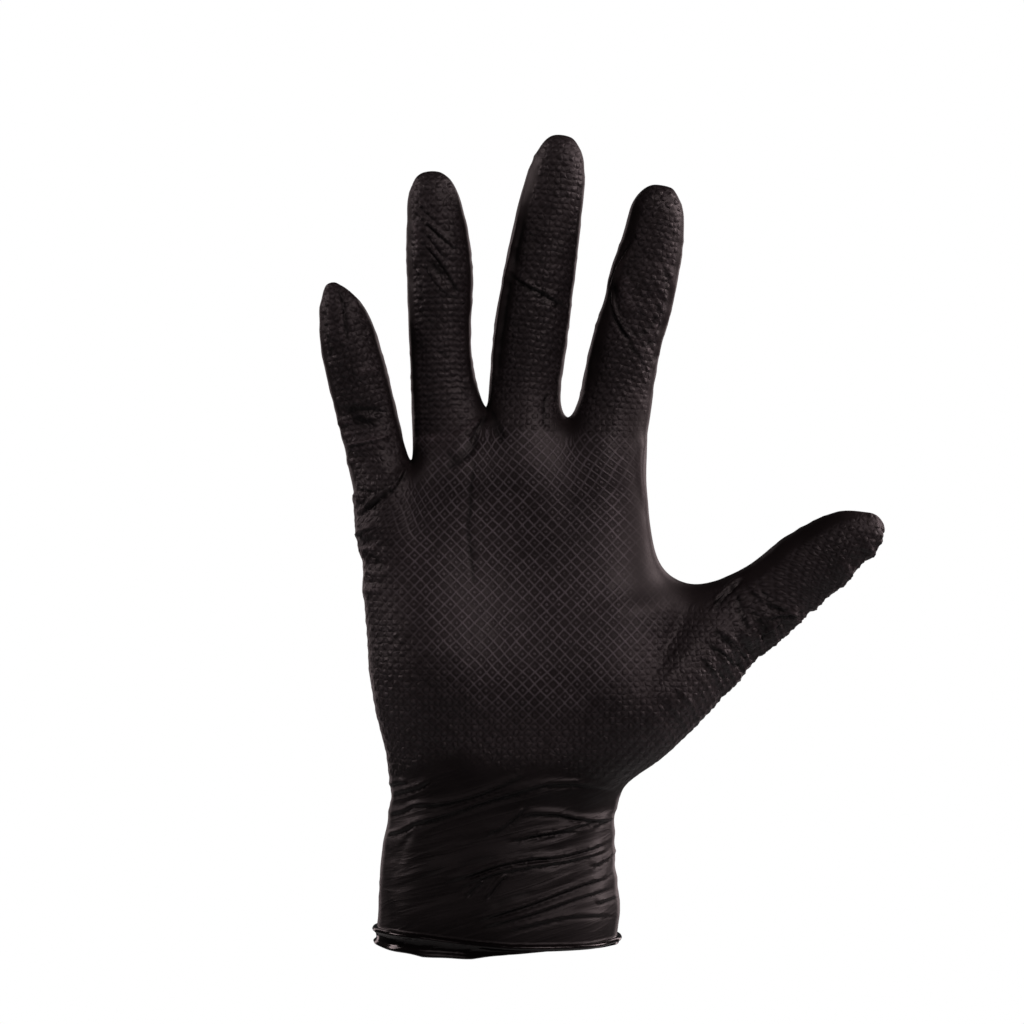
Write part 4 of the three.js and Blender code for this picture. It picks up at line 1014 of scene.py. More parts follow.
def gripMask(points, normals, zone):
    seen = asSeen(points)
    start = np.array(film["gripStart"])
    base = np.interp(seen[:, 0], start[:, 0], start[:, 1])
    base = base + gripEdge["waver"] * softNoise(points / gripEdge["waverCell"], 40)
    mask = smooth(seen[:, 1] - base, *gripEdge["lowerEnd"])
    facing = np.abs(normals[:, 1])
    onDigit, onPalm = smooth(facing, *gripEdge["digitFacing"]), smooth(facing, *gripEdge["palmFacing"])
    mask = mask * np.where(zone > 0, onDigit, onPalm)
    mask = np.maximum(mask, lowSideMask(points, normals, zone))
    # a smooth strip runs up each side of a digit
    for number, digit in enumerate(digits, 1):
        own = zone == number
        across, along = digitPlace(points[own], digit)
        share = along / digit["length"]
        middle = np.interp(share, digit["along"], digit["shift"]) * digit["width"]
        breadth = np.interp(share, digit["along"], digit["breadth"])
        across = (across - middle) / breadth / digit["width"] * 2
        left, right = digit["gripSides"]
        beyond, within = gripEdge["stripFade"]
        strips = smooth(across, -left - beyond, -left + within)
        strips = strips * (1 - smooth(across, right - within, right + beyond))
        length = smooth(share, *gripEdge["stripFrom"]) * (1 - smooth(share, *gripEdge["stripTo"]))
        mask[own] *= mix(1, strips, length)
    # the webs and the palm's edge below the index finger are nearly smooth
    gaps = webGap(points)
    nearThumb, nearFingers = smooth(gaps, *gripEdge["thumbWeb"]), smooth(gaps, *gripEdge["webs"])
    mask = mask * np.where(zone == thumbZone, nearThumb, nearFingers)
    x, z = points[:, 0], points[:, 2]
    edge = smooth(x, *gripEdge["indexEdgeAcross"]) * np.isin(zone, (0, indexZone))
    edge = edge * smooth(z, *gripEdge["indexEdgeFrom"]) * (1 - smooth(z, *gripEdge["indexEdgeTo"]))
    return mask * (1 - 0.9 * edge)


def slackMask(points, zone):
    # 0 where the film is drawn taut over the palm, 1 where it bunches and each cell puffs up
    seen = asSeen(points)
    off = (seen - np.array(film["tautAt"])) / np.array(film["tautReach"])
    slack = smooth(np.linalg.norm(off, axis=1), 0.8, 1.3)
    return np.maximum(slack, np.where(zone > 0, smooth(seen[:, 1], 100, 172), 0))


def ribMask(points, zone):
    # how far the rows of a digit's pattern run together as cross ribs
    ribs = np.zeros(len(points))
    for number, digit in enumerate(digits, 1):
        own = zone == number
        share = digitPlace(points[own], digit)[1] / digit["length"]
        ribs[own] = np.interp(share, [0, 0.45, 0.75], digit["ribs"]) * smooth(share, 0, 0.12)
    return ribs


def pointNormals(points, triangles):
    a, b, c = (points[triangles[:, k]] for k in range(3))
    cross = np.cross(b - a, c - a)
    normals = np.zeros_like(points)
    for k in range(3):
        np.add.at(normals, triangles[:, k], cross)
    return normals / np.linalg.norm(normals, axis=1, keepdims=True)


def splitMarked(triangles, marked, fields, zone):
    # marked triangles become four, and their neighbours are cut to fit
    sides = np.sort(triangles[:, [[0, 1], [1, 2], [2, 0]]], axis=2).reshape(-1, 2)
    unique, index = np.unique(sides, axis=0, return_inverse=True)
    index = index.reshape(-1, 3)
    cut = np.zeros(len(unique), bool)
    cut[index[marked]] = True
    while (cut[index].sum(axis=1) == 2).any():
        cut[index[cut[index].sum(axis=1) == 2]] = True
    middle = np.full(len(unique), -1)
    middle[cut] = len(zone) + np.arange(cut.sum())
    ends = unique[cut]
    fields = [np.concatenate([field, field[ends].mean(axis=1)]) for field in fields]
    zone = np.concatenate([zone, zone[ends].max(axis=1)])
    count, middle = cut[index].sum(axis=1), middle[index]
    a, b, c = triangles[count == 3].T
    ab, bc, ca = middle[count == 3].T
    parts = [triangles[count == 0]]
    parts += [np.stack(corner, axis=1) for corner in ((a, ab, ca), (ab, b, bc), (ca, bc, c), (ab, bc, ca))]
    single = np.flatnonzero(count == 1)
    k = cut[index[single]].argmax(axis=1)
    start, end, far = (triangles[single, (k + step) % 3] for step in range(3))
    half = middle[single, k]
    parts += [np.stack([start, half, far], axis=1), np.stack([half, end, far], axis=1)]
    return np.concatenate(parts), fields, zone


def foldsAt(points, normals):
    front = foldLift(asSeen(points), palmFolds)
    back = foldLift(points[:, [0, 2]], backFolds)
    frontShare = np.clip(0.35 - 1.3 * normals[:, 1], 0, 1)
    backShare = np.clip(0.35 + 1.3 * normals[:, 1], 0, 1)
    close = np.where(normals[:, 1] < 0.1, front[2], film["farOff"])
    lift, tone = (front[k] * frontShare + back[k] * backShare for k in range(2))
    return lift, tone, close


def cutQuads(points, faces):
    # each quad is cut along its shorter diagonal
    a, b, c, d = (points[faces[:, k]] for k in range(4))
    short = (np.linalg.norm(a - c, axis=1) <= np.linalg.norm(b - d, axis=1))[:, None]
    return np.concatenate([np.where(short, faces[:, [0, 1, 2]], faces[:, [0, 1, 3]]),
                           np.where(short, faces[:, [0, 2, 3]], faces[:, [1, 2, 3]])])


def splitAtFolds(triangles, fields, zone):
    # the net is finer where a fold runs
    for budget in film["splits"]:
        points, normals = fields[:2]
        close = foldsAt(points, normals)[2][triangles].mean(axis=1)
        close[points[triangles, 2].min(axis=1) < film["splitsAbove"]] = film["farOff"]
        marked = np.argsort(close, kind="stable")[:budget]
        triangles, fields, zone = splitMarked(triangles, marked, fields, zone)
    return triangles, fields, zone


def reliefLift(points, normals, pattern, slack, zone):
    # puffed cells, a faint unevenness, and the lumps of the thumb's lower edge and the outer edge
    puff = -np.cos(2 * pi * pattern[:, 0]) * np.cos(2 * pi * pattern[:, 1])
    low = lowSideMask(points, normals, zone)
    z = points[:, 2]
    stretch = smooth(z, *lumpForm["edgeFrom"]) * (1 - smooth(z, *lumpForm["edgeTo"]))
    outerEdge = np.clip(-normals[:, 0] * 1.5 - 0.4, 0, 1) * stretch
    flat = points[:, [0, 2]]
    thumbWay = np.stack([flat @ thumb["axis"], points[:, 1], flat @ thumb["across"]], axis=1)
    relief = film["puff"] * slack * puff * (1 + lumpForm["thumbPuff"] * low)
    relief += film["unevenness"] * softNoise(points / film["unevenCell"], 31)
    lumps = lumpForm["thumbShare"] * low * softNoise(thumbWay * lumpForm["thumbCells"], 35)
    lumps += outerEdge * softNoise(points * lumpForm["edgeCells"], 33)
    return relief + film["lumps"] * lumps


def skinPoints():
    points = levelPalm(relaxWebs(net, netFaces), netFaces)
    points[:, 1] += swellLift(points, netZones)
    first = refine(np.concatenate([points, netGrips], axis=1), netFaces, mouthRing, netZones)
    points, faces, ring, zone = refine(*first)
    points, pattern = points[:, :3], points[:, 3:]
    triangles = cutQuads(points, faces)
    fields = [points, pointNormals(points, triangles), pattern]
    triangles, (base, normals, pattern), zone = splitAtFolds(triangles, fields, zone)
    normals = normals / np.linalg.norm(normals, axis=1, keepdims=True)
    # tone is the folds' painted shade and painted highlight, carried into the colour
    lift, tone, _ = foldsAt(base, normals)
    lift = lift + wrinkleLift(base, zone)
    rimFade = smooth(base[:, 2], 3, 8) * 0.8 + 0.2
    outer = base + normals * (lift * rimFade)[:, None]
    grip, slack = gripMask(outer, normals, zone), slackMask(outer, zone)
    relief = reliefLift(outer, normals, pattern, slack, zone)
    outer = outer + normals * (relief * grip)[:, None]
    # the inside follows the base net, and leaves room for the folds above the rim
    count = len(net)
    away = smooth(base[:count, 2], 6, 18)[:, None]
    deep = glove["filmThickness"] + film["foldRoom"] * away
    inner = mix(outer[:count], base[:count], away) - normals[:count] * deep
    return {
        "outer": outer, "triangles": triangles, "inner": inner, "pattern": pattern, "ring": ring,
        "grip": grip, "slack": slack, "ribs": ribMask(outer, zone), "tone": tone,
    }


skin = skinPoints()
print("skin shaped:", len(skin["outer"]), "points")

# Rolled rim: fixed is millimetres below the band's top, share is of the band's height beyond one roll
bead = {
    "roll": 1.7,
    "profile": [
        {"fixed": 0.1, "share": 0.0, "out": 0.55}, {"fixed": 0.4, "share": 0.0, "out": 1.15},
        {"fixed": 0.85, "share": 0.0, "out": 1.4}, {"fixed": 1.3, "share": 0.0, "out": 1.2},
        {"fixed": 1.6, "share": 0.02, "out": 0.7}, {"fixed": 1.7, "share": 0.15, "out": 0.45},
        {"fixed": 1.7, "share": 0.45, "out": 0.25}, {"fixed": 1.7, "share": 0.68, "out": 0.45},
        {"fixed": 1.7, "share": 0.84, "out": 1.15}, {"fixed": 1.7, "share": 0.95, "out": 1.0},
        {"fixed": 1.75, "share": 1.0, "out": 0.45}, {"fixed": 1.7, "share": 1.0, "out": -0.15},
        {"fixed": 1.5, "share": 0.85, "out": -0.6}, {"fixed": 0.9, "share": 0.45, "out": -0.75},
    ],
}


def beadRings():
    ring = skin["ring"]
    top = skin["outer"][ring]
    count = len(ring)
    left, right = cuffCorner(0, "left"), cuffCorner(0, "right")
    across = np.clip((top[:, 0] - left) / (right - left), 0, 1)
    near = np.interp(across, rim["palmSide"]["across"], rim["palmSide"]["band"])
    far = np.interp(across, rim["backSide"]["across"], rim["backSide"]["band"])
    side = smooth(top[:, 1], -6, 6)
    band = mix(near, far, side)
    span = np.roll(top, -1, axis=0) - np.roll(top, 1, axis=0)
    outward = np.stack([span[:, 1], -span[:, 0]], axis=1)
    outward /= np.linalg.norm(outward, axis=1, keepdims=True)
    turn = np.arange(count) / count * 2 * pi
    wave = 0.25 * np.sin(7 * turn + 1) + 0.2 * np.sin(13 * turn)
    slack = smooth(band, 2.0, 4.0)
    rings = []
    for spot in bead["profile"]:
        loose = spot["share"] * (1 + 0.12 * wave)
        drop = spot["fixed"] + loose * np.maximum(band - bead["roll"], 0)
        out = spot["out"]
        if spot["share"] > 0.1 and out > 0:
            out = mix(min(out, 0.5), out + 0.35 * wave, slack)
        ringPoints = top.copy()
        ringPoints[:, :2] += outward * np.broadcast_to(out, count)[:, None]
        ringPoints[:, 2] -= drop
        rings.append(ringPoints)
    return rings


def buildFilm():
    outer, inner, ring = skin["outer"], skin["inner"], skin["ring"]
    rings = beadRings()
    count = len(ring)
    allPoints = [outer] + rings + [inner]
    starts = np.cumsum([0] + [len(part) for part in allPoints])
    triangles, slots = [skin["triangles"]], [np.zeros(len(skin["triangles"]), int)]

    def addTriangles(corner, slot):
        triangles.append(np.array(corner))
        slots.append(np.full(len(corner), slot, int))

    ladder = [np.array(ring)] + [starts[k + 1] + np.arange(count) for k in range(len(rings))]
    rolled = []
    for upper, lower in zip(ladder, ladder[1:]):
        nextUpper, nextLower = np.roll(upper, -1), np.roll(lower, -1)
        for corner in ([lower, nextLower, nextUpper], [lower, nextUpper, upper]):
            rolled.append(np.stack(corner, axis=1))
    addTriangles(np.concatenate(rolled), 1)
    innerStart, last = starts[-2], ladder[-1]
    innerRing = innerStart + np.array(mouthRing)
    joint = []
    for k in range(len(mouthRing)):
        a, b = innerRing[k], innerRing[(k + 1) % len(mouthRing)]
        p = [last[(4 * k + step) % count] for step in range(5)]
        joint += [[a, p[1], p[0]], [a, p[2], p[1]], [a, b, p[2]], [b, p[3], p[2]], [b, p[4], p[3]]]
    addTriangles(joint, 2)
    flipped = innerStart + netFaces[:, ::-1]
    addTriangles(np.concatenate([flipped[:, [0, 1, 2]], flipped[:, [0, 2, 3]]]), 2)
    points = np.concatenate(allPoints) * 0.001
    corner = np.concatenate(triangles)
    mesh = bpy.data.meshes.new("gloveFilm")
    mesh.from_pydata(points.tolist(), [], corner.tolist())
    mesh.polygons.foreach_set("material_index", np.concatenate(slots).astype(np.int32))
    mesh.polygons.foreach_set("use_smooth", np.ones(len(corner), bool))
    pattern = np.zeros((len(points), 2), np.float32)
    pattern[:len(outer)] = skin["pattern"]
    layer = mesh.uv_layers.new(name="grip")
    layer.data.foreach_set("uv", pattern[corner.reshape(-1)].reshape(-1))

    def addMask(name, values):
        whole = np.zeros(len(points), np.float32)
        whole[:len(values)] = values
        mesh.attributes.new(name, "FLOAT", "POINT").data.foreach_set("value", whole)

    addMask("gripMask", skin["grip"])
    # painted shade in fold valleys, gaps and lines, and painted highlight on fold ridges and lips
    addMask("foldPaintedShading", np.clip(skin["tone"], -1.0, 1.0))
    addMask("cuffMask", 1 - smooth(outer[:, 2], *film["cuffEnd"]))
    addMask("slackMask", skin["slack"])
    addMask("ribMask", skin["ribs"])
    mesh.validate()
    mesh.update()
    piece = bpy.data.objects.new("gloveFilm", mesh)
    bpy.context.collection.objects.link(piece)
    return piece


gloveFilm = buildFilm()
print("film built:", len(gloveFilm.data.polygons), "triangles")


# Shader groups
def newGroup(name, inputs, outputs):
    group = bpy.data.node_groups.new(name, "ShaderNodeTree")
    for label, kind, value in inputs:
        socket = group.interface.new_socket(name=label, in_out="INPUT", socket_type=kind)
        socket.default_value = value
    for label, kind in outputs:
        group.interface.new_socket(name=label, in_out="OUTPUT", socket_type=kind)
    return group, group.nodes.new("NodeGroupInput"), group.nodes.new("NodeGroupOutput")


class NodeMaker:
    # short calls for placing and joining shader nodes
    def __init__(self, tree):
        self.tree = tree

    def node(self, kind, **settings):
        made = self.tree.nodes.new(kind)
        for key, value in settings.items():
            setattr(made, key, value)
        return made

    def join(self, output, socket):
        self.tree.links.new(output, socket)

    def feed(self, socket, value):
        if isinstance(value, bpy.types.NodeSocket):
            self.join(value, socket)
        else:
            socket.default_value = value

    def math(self, operation, *values):
        made = self.node("ShaderNodeMath", operation=operation)
        for socket, value in zip(made.inputs, values):
            self.feed(socket, value)
        return made.outputs[0]

    def plus(self, first, second):
        return self.math("ADD", first, second)

    def minus(self, first, second):
        return self.math("SUBTRACT", first, second)

    def times(self, first, second):
        return self.math("MULTIPLY", first, second)

    def ramp(self, value, low, high, start=0.0, end=1.0):
        made = self.node("ShaderNodeMapRange", interpolation_type="SMOOTHSTEP")
        labels = ("Value", "From Min", "From Max", "To Min", "To Max")
        for label, item in zip(labels, (value, low, high, start, end)):
            self.feed(made.inputs[label], item)
        return made.outputs[0]

    def noise(self, vector, scale, detail=2.0, roughness=0.5, distortion=0.0, output="Fac"):
        made = self.node("ShaderNodeTexNoise")
        self.join(vector, made.inputs["Vector"])
        labels = ("Scale", "Detail", "Roughness", "Distortion")
        for label, item in zip(labels, (scale, detail, roughness, distortion)):
            self.feed(made.inputs[label], item)
        return made.outputs[output]

    def vector(self, operation, first, second):
        made = self.node("ShaderNodeVectorMath", operation=operation)
        self.feed(made.inputs[0], first)
        self.feed(made.inputs[1], second)
        return made.outputs["Vector"]

    def split(self, vector):
        made = self.node("ShaderNodeSeparateXYZ")
        self.join(vector, made.inputs[0])
        return made.outputs[:2]

    def mapped(self, vector, scale, turn=(0, 0, 0)):
        made = self.node("ShaderNodeMapping")
        self.join(vector, made.inputs["Vector"])
        made.inputs["Scale"].default_value = scale
        made.inputs["Rotation"].default_value = turn
        return made.outputs["Vector"]

    def mixColour(self, factor, first, second, blend="MIX"):
        made = self.node("ShaderNodeMix", data_type="RGBA", blend_type=blend)
        self.feed(made.inputs["Factor"], factor)
        self.feed(made.inputs["A"], first)
        self.feed(made.inputs["B"], second)
        return made.outputs["Result"]

    def grey(self, value):
        made = self.node("ShaderNodeCombineColor")
        for socket in made.inputs[:3]:
            self.join(value, socket)
        return made.outputs[0]

    def group(self, tree, **values):
        made = self.node("ShaderNodeGroup", node_tree=tree)
        for label, value in values.items():
            self.feed(made.inputs[label], value)
        return made.outputs

    def attribute(self, name):
        return self.node("ShaderNodeAttribute", attribute_name=name).outputs["Fac"]

    def bump(self, height, distance, normal=None):
        made = self.node("ShaderNodeBump")
        made.inputs["Distance"].default_value = distance * 0.001
        self.join(height, made.inputs["Height"])
        if normal is not None:
            self.join(normal, made.inputs["Normal"])
        return made.outputs["Normal"]


# The grip pattern, in shares of a cell: how it drifts, how far slack film pushes its cells about, and how
# strongly puffs, ribs and pips show as painted highlight in the colour, and in height
gripLook = {
    "drift": 0.35,
    "push": (0.9, 0.5),
    "puffHighlight": 0.27,
    "puffHeight": 3.4,
    "tautWhereSlack": 0.22,
    "pipShow": 0.8,
    "ribShow": 0.8,
    "ribClears": 0.6,
}


def gripGroup():
    # taut film shows thin lines crossing as diamonds with a pip in each cell, as a bump and as painted
    # highlight in the colour
    group, entry, leave = newGroup("gripLattice", [
        ("Line", "NodeSocketFloat", 0.12), ("Pip", "NodeSocketFloat", 0.12),
        ("Slack", "NodeSocketFloat", 0.0), ("Ribs", "NodeSocketFloat", 0.0),
    ], [("PaintedHighlight", "NodeSocketFloat"), ("Height", "NodeSocketFloat")])
    make = NodeMaker(group)

    def patchy(value, scale, detail, low, high, least):
        return make.times(value, make.ramp(make.noise(flat, scale, detail), low, high, least, 1.0))

    def shifts(place, scale):
        return make.vector("SUBTRACT", make.noise(place, scale, 2.0, output="Color"), (0.5, 0.5, 0.5))

    flat = make.node("ShaderNodeUVMap", uv_map="grip").outputs["UV"]
    drift = make.vector("MULTIPLY", shifts(flat, 0.33), (gripLook["drift"], gripLook["drift"], 0.0))
    flat = make.vector("ADD", flat, drift)
    across, along = make.split(flat)
    rising = make.math("PINGPONG", make.plus(across, along), 0.5)
    falling = make.math("PINGPONG", make.minus(across, along), 0.5)
    line = entry.outputs["Line"]
    lines = make.plus(make.ramp(rising, 0.0, line, 1.0, 0.0), make.ramp(falling, 0.0, line, 1.0, 0.0))
    lines = patchy(make.math("MINIMUM", lines, 1.3), 0.9, 2.0, 0.3, 0.62, 0.45)
    away = make.math("SQRT", make.plus(make.math("POWER", make.minus(0.5, rising), 2.0),
                                       make.math("POWER", make.minus(0.5, falling), 2.0)))
    pipSize = entry.outputs["Pip"]
    pip = patchy(make.ramp(away, make.times(pipSize, 0.35), pipSize, 1.0, 0.0), 1.7, 1.0, 0.4, 0.65, 0.15)
    taut = make.math("MAXIMUM", lines, make.times(pip, gripLook["pipShow"]))
    # slack film puffs up in each cell and on each crossing, parted by gaps; the puffs also get painted
    # highlight in the colour
    slack = entry.outputs["Slack"]
    pushes = make.split(shifts(flat, 1.1))
    across, along = (make.plus(way, make.times(push, make.times(slack, far)))
                     for way, push, far in zip((across, along), pushes, gripLook["push"]))
    wave = make.times(make.math("COSINE", make.times(across, 2 * pi)),
                      make.math("COSINE", make.times(along, 2 * pi)))
    puff = make.math("POWER", make.math("ABSOLUTE", wave), 0.8)
    puff = make.times(puff, make.ramp(wave, -0.2, 0.2, 1.0, 0.5))
    puff = patchy(puff, 1.3, 2.0, 0.32, 0.6, 0.3)
    # ribs where the rows run together
    rib = make.ramp(make.math("PINGPONG", along, 0.25), 0.02, 0.2, 1.0, 0.0)
    rib = patchy(rib, 0.7, 2.0, 0.3, 0.6, 0.5)
    rows = entry.outputs["Ribs"]
    left = make.minus(1.0, make.times(rows, gripLook["ribClears"]))
    puff = make.plus(make.times(puff, left), make.times(rib, make.times(rows, gripLook["ribShow"])))
    taut = make.times(taut, make.ramp(slack, 0.0, 1.0, 1.0, gripLook["tautWhereSlack"]))
    for label, strength in (("PaintedHighlight", gripLook["puffHighlight"]), ("Height", gripLook["puffHeight"])):
        make.join(make.plus(make.times(puff, make.times(slack, strength)), taut), leave.inputs[label])
    return group


# Creases are noise cells for each metre sideways, in depth and upwards, tilted by some degrees
grainLook = {
    "long": {"scale": (24, 60, 330), "turn": 17, "detail": 2.0},
    "fine": {"scale": (45, 90, 700), "turn": 12, "detail": 1.0},
    "sharpness": 9.0,
    "fineShare": 0.3,
    "peelScale": 1500.0,
    "patchScale": 55.0,
}


def grainGroup():
    # slack wrinkles of thin film over a faint orange peel
    group, entry, leave = newGroup("filmGrain", [
        ("Wrinkle", "NodeSocketFloat", 1.0), ("Peel", "NodeSocketFloat", 1.0),
    ], [("Height", "NodeSocketFloat"), ("Patch", "NodeSocketFloat")])
    make = NodeMaker(group)
    place = make.node("ShaderNodeTexCoord").outputs["Object"]

    def crease(look):
        turned = make.mapped(place, (1, 1, 1), (0, radians(look["turn"]), 0))
        value = make.noise(make.mapped(turned, look["scale"]), 1.0, look["detail"], 0.5, 0.5)
        off = make.math("ABSOLUTE", make.minus(value, 0.5))
        return make.math("MAXIMUM", make.minus(1.0, make.times(off, grainLook["sharpness"])), 0.0)

    long, fine = crease(grainLook["long"]), crease(grainLook["fine"])
    wrinkle = make.plus(long, make.times(fine, grainLook["fineShare"]))
    peel = make.noise(place, grainLook["peelScale"], 2.0, 0.6)
    height = make.plus(make.times(wrinkle, entry.outputs["Wrinkle"]),
                       make.times(peel, entry.outputs["Peel"]))
    make.join(height, leave.inputs["Height"])
    make.join(make.noise(place, grainLook["patchScale"], 3.0, 0.55), leave.inputs["Patch"])
    return group


gripLattice = gripGroup()
filmGrain = grainGroup()

# Colours are linear, bumps are millimetres
finish = {
    "base": (0.0092, 0.0068, 0.0072, 1.0),
    # the grip's ridges, pips and puffs are painted lighter with this colour, as painted highlight
    "gripHighlight": (0.070, 0.064, 0.071, 1.0),
    # cuff is the film's colour darkened on the cuff as painted shade; the bead and the inside films mix it
    # in too
    "cuff": (0.0028, 0.0018, 0.0020, 1.0),
    "bead": (0.0030, 0.0024, 0.0025, 1.0),
    "beadGloss": 0.25,
    "beadRoughness": (0.13, 0.2),
    "insideRoughness": (0.5, 0.6),
    "roughness": (0.45, 0.56),
    "patchShade": (0.8, 1.2),
    # valleyShade scales the painted shade in fold valleys, ridgeShade the painted highlight on fold ridges
    # and lips
    "valleyShade": 0.25,
    "ridgeShade": 2.2,
    "gloss": 0.26,
    "gripBump": 0.07,
    "wrinkleBump": 0.05,
    "line": 0.19,
    "pip": 0.24,
}


def newMaterial(name):
    material = bpy.data.materials.new(name)
    material.use_nodes = True
    material.node_tree.nodes.clear()
    make = NodeMaker(material.node_tree)
    shader = make.node("ShaderNodeBsdfPrincipled")
    make.join(shader.outputs["BSDF"], make.node("ShaderNodeOutputMaterial").inputs["Surface"])
    return material, make, shader


def nitrileFilm():
    material, make, shader = newMaterial("nitrileFilm")
    mask, cuff = make.attribute("gripMask"), make.attribute("cuffMask")
    slack, tone = make.attribute("slackMask"), make.attribute("foldPaintedShading")
    grip = make.group(gripLattice, Line=finish["line"], Pip=finish["pip"], Slack=slack,
                      Ribs=make.attribute("ribMask"))
    grain = make.group(filmGrain, Wrinkle=make.ramp(cuff, 0.0, 1.0, 0.08, 1.0), Peel=0.05)
    # painted highlight on the grip's ridges, pips and puffs
    gripHighlight = make.times(grip["PaintedHighlight"], mask)
    colour = make.mixColour(gripHighlight, finish["base"], finish["gripHighlight"])
    # the cuff is painted darker, as painted shade
    colour = make.mixColour(cuff, colour, finish["cuff"])
    shade = make.ramp(grain["Patch"], 0.3, 0.7, *finish["patchShade"])
    # painted shade in fold valleys, gaps and lines, and painted highlight on fold ridges and lips
    shade = make.times(shade, make.ramp(tone, -0.9, 0.0, finish["valleyShade"], 1.0))
    shade = make.times(shade, make.ramp(tone, 0.0, 0.9, 1.0, finish["ridgeShade"]))
    make.join(make.mixColour(1.0, colour, make.grey(shade), "MULTIPLY"), shader.inputs["Base Color"])
    rough = make.ramp(grain["Patch"], 0.3, 0.7, *finish["roughness"])
    make.join(make.minus(rough, make.times(cuff, 0.04)), shader.inputs["Roughness"])
    shader.inputs["Specular IOR Level"].default_value = finish["gloss"]
    normal = make.bump(make.times(grip["Height"], mask), finish["gripBump"])
    make.join(make.bump(grain["Height"], finish["wrinkleBump"], normal), shader.inputs["Normal"])
    return material


def plainFilm(name, low, high, roughness, gloss, wrinkle, distance):
    material, make, shader = newMaterial(name)
    shader.inputs["Specular IOR Level"].default_value = gloss
    grain = make.group(filmGrain, Wrinkle=wrinkle, Peel=0.08)
    tone = make.ramp(grain["Patch"], 0.3, 0.7, 0.0, 1.0)
    make.join(make.mixColour(tone, low, high), shader.inputs["Base Color"])
    make.join(make.ramp(tone, 0.0, 1.0, *roughness), shader.inputs["Roughness"])
    make.join(make.bump(grain["Height"], distance), shader.inputs["Normal"])
    return material


nitrileBead = plainFilm("nitrileBead", finish["bead"], finish["cuff"], finish["beadRoughness"],
                        finish["beadGloss"], 0.4, 0.1)
nitrileInside = plainFilm("nitrileInside", finish["cuff"], finish["base"], finish["insideRoughness"],
                          finish["gloss"], 0.5, 0.2)
for material in (nitrileFilm(), nitrileBead, nitrileInside):
    gloveFilm.data.materials.append(material)
print("materials placed:", len(gloveFilm.data.materials))

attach(gloveFilm, "root")
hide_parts("glove")

studio = {
    "floorRadius": 0.42,
    "floorLevel": -0.14,
    "lampTint": (1.0, 0.80, 0.81),
    "world": 0.02,
    "background": 1.0,
    "lens": 132.6,
    "paper": [(0.62, 0.71, 0.70, 1), (0.66, 0.75, 0.74, 1)],
}
# Each lamp: where it stands, where it points, breadth and height in metres, watts, and spread in degrees
lamps = {
    "keySoftbox": [(0.6, -0.85, 0.8), (0.06, 0, 0.23), (0.8, 0.8), 0.83, 44],
    "fillSoftbox": [(-0.6, -0.85, 0.65), (0.0, 0, 0.26), (0.7, 0.8), 0.13, 50],
    "rightSideStrip": [(0.8, 0.1, 0.45), (0.08, 0, 0.19), (0.25, 0.7), 1.2, 70],
    "leftSideStrip": [(-0.8, 0.12, 0.55), (0.02, 0, 0.25), (0.25, 0.6), 0.26, 42],
    "leftRimStrip": [(-0.55, 0.9, 0.22), (0.03, 0.0, 0.12), (0.3, 0.9), 1.2, 180],
    "rightRimStrip": [(0.55, 0.9, 0.22), (0.03, 0.0, 0.12), (0.3, 0.9), 2.2, 180],
}


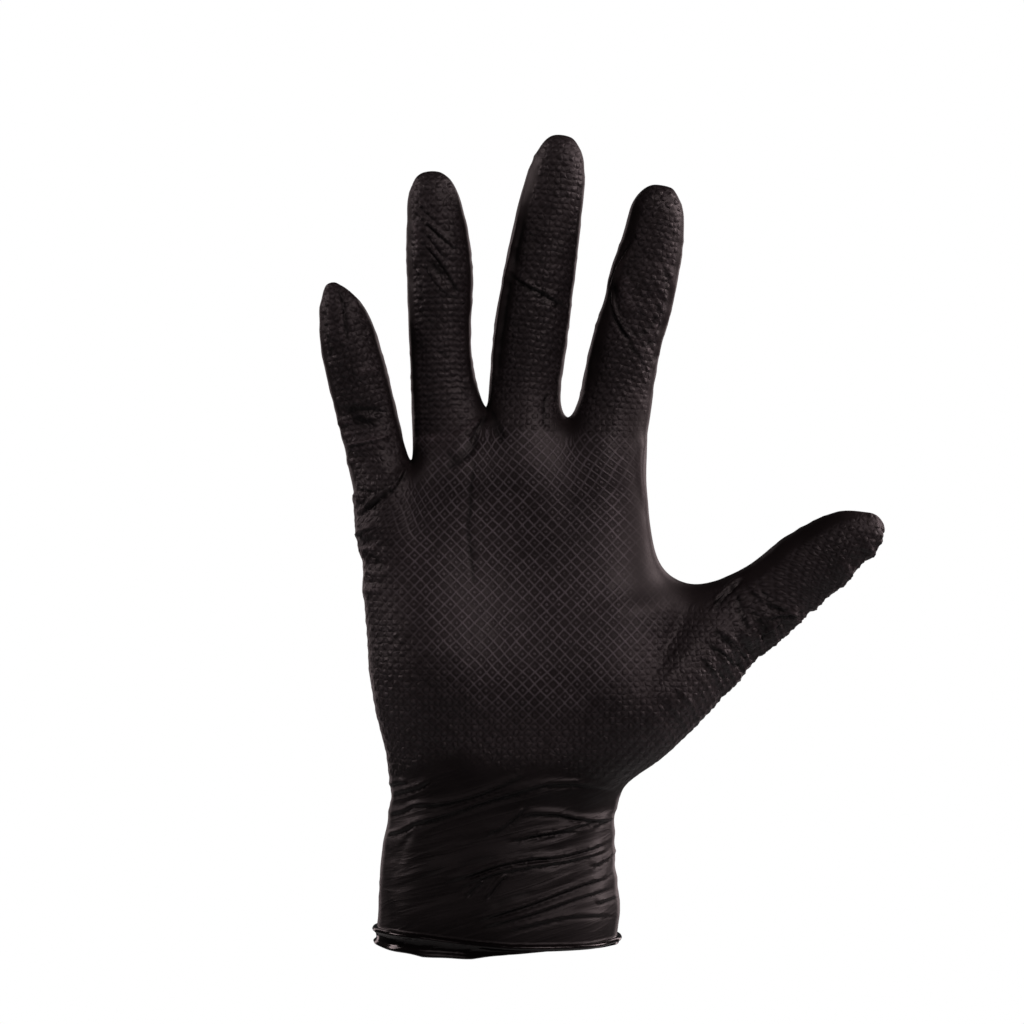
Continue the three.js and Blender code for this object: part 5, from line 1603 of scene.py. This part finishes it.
def buildFloor():
    # a round sheet of paper with a rounded edge: each ring is a share of the radius, and a height
    rings = [(0.25, 0.0), (0.6, 0.0), (0.9, 0.0), (0.985, -0.004), (1.0, -0.012)]
    sides = 96
    points, faces = [(0.0, 0.0, studio["floorLevel"])], []
    for share, height in rings:
        for k in range(sides):
            angle = 2 * pi * k / sides
            reach = share * studio["floorRadius"]
            points.append((reach * cos(angle), reach * sin(angle), studio["floorLevel"] + height))
    for k in range(sides):
        faces.append((0, 1 + k, 1 + (k + 1) % sides))
    for r in range(len(rings) - 1):
        for k in range(sides):
            a, b = 1 + r * sides + k, 1 + r * sides + (k + 1) % sides
            faces.append((a, a + sides, b + sides, b))
    mesh = bpy.data.meshes.new("studioFloor")
    mesh.from_pydata(points, [], faces)
    mesh.update()
    floor = bpy.data.objects.new("studioFloor", mesh)
    bpy.context.collection.objects.link(floor)
    material, make, shader = newMaterial("studioFloorPaper")
    tone = make.noise(make.node("ShaderNodeTexCoord").outputs["Object"], 40.0, 4.0)
    make.join(make.mixColour(tone, *studio["paper"]), shader.inputs["Base Color"])
    shader.inputs["Roughness"].default_value = 0.8
    mesh.materials.append(material)


def addLamp(name, place, target, size, power, spread):
    data = bpy.data.lights.new(name, "AREA")
    data.shape = "RECTANGLE"
    data.size, data.size_y = size
    data.energy = power
    data.color = studio["lampTint"]
    data.spread = radians(spread)
    lamp = bpy.data.objects.new(name, data)
    lamp.location = place
    aim = Vector(target) - Vector(place)
    lamp.rotation_euler = aim.to_track_quat("-Z", "Y").to_euler()
    bpy.context.collection.objects.link(lamp)


def buildWorld():
    world = bpy.data.worlds.new("studioWorld")
    world.use_nodes = True
    world.node_tree.nodes.clear()
    make = NodeMaker(world.node_tree)
    # white behind the glove for the camera, dim for what it lights
    choose = make.node("ShaderNodeMixShader")
    make.join(make.node("ShaderNodeLightPath").outputs["Is Camera Ray"], choose.inputs[0])
    for socket, strength in zip(choose.inputs[1:], (studio["world"], studio["background"])):
        white = make.node("ShaderNodeBackground")
        white.inputs["Color"].default_value = (1, 1, 1, 1)
        white.inputs["Strength"].default_value = strength
        make.join(white.outputs[0], socket)
    make.join(choose.outputs[0], make.node("ShaderNodeOutputWorld").inputs["Surface"])
    bpy.context.scene.world = world


def buildStudio():
    buildWorld()
    buildFloor()
    for name, settings in lamps.items():
        addLamp(name, *settings)
    camera = bpy.data.objects.new("photoCamera", bpy.data.cameras.new("photoCamera"))
    camera.data.lens = studio["lens"]
    camera.data.sensor_width = 36.0
    camera.location = [eye[way] * 0.001 for way in "xyz"]
    camera.rotation_euler = (pi / 2, 0, 0)
    bpy.context.collection.objects.link(camera)
    bpy.context.scene.camera = camera
    bpy.context.scene.view_settings.view_transform = "Standard"


buildStudio()
print("studio ready")
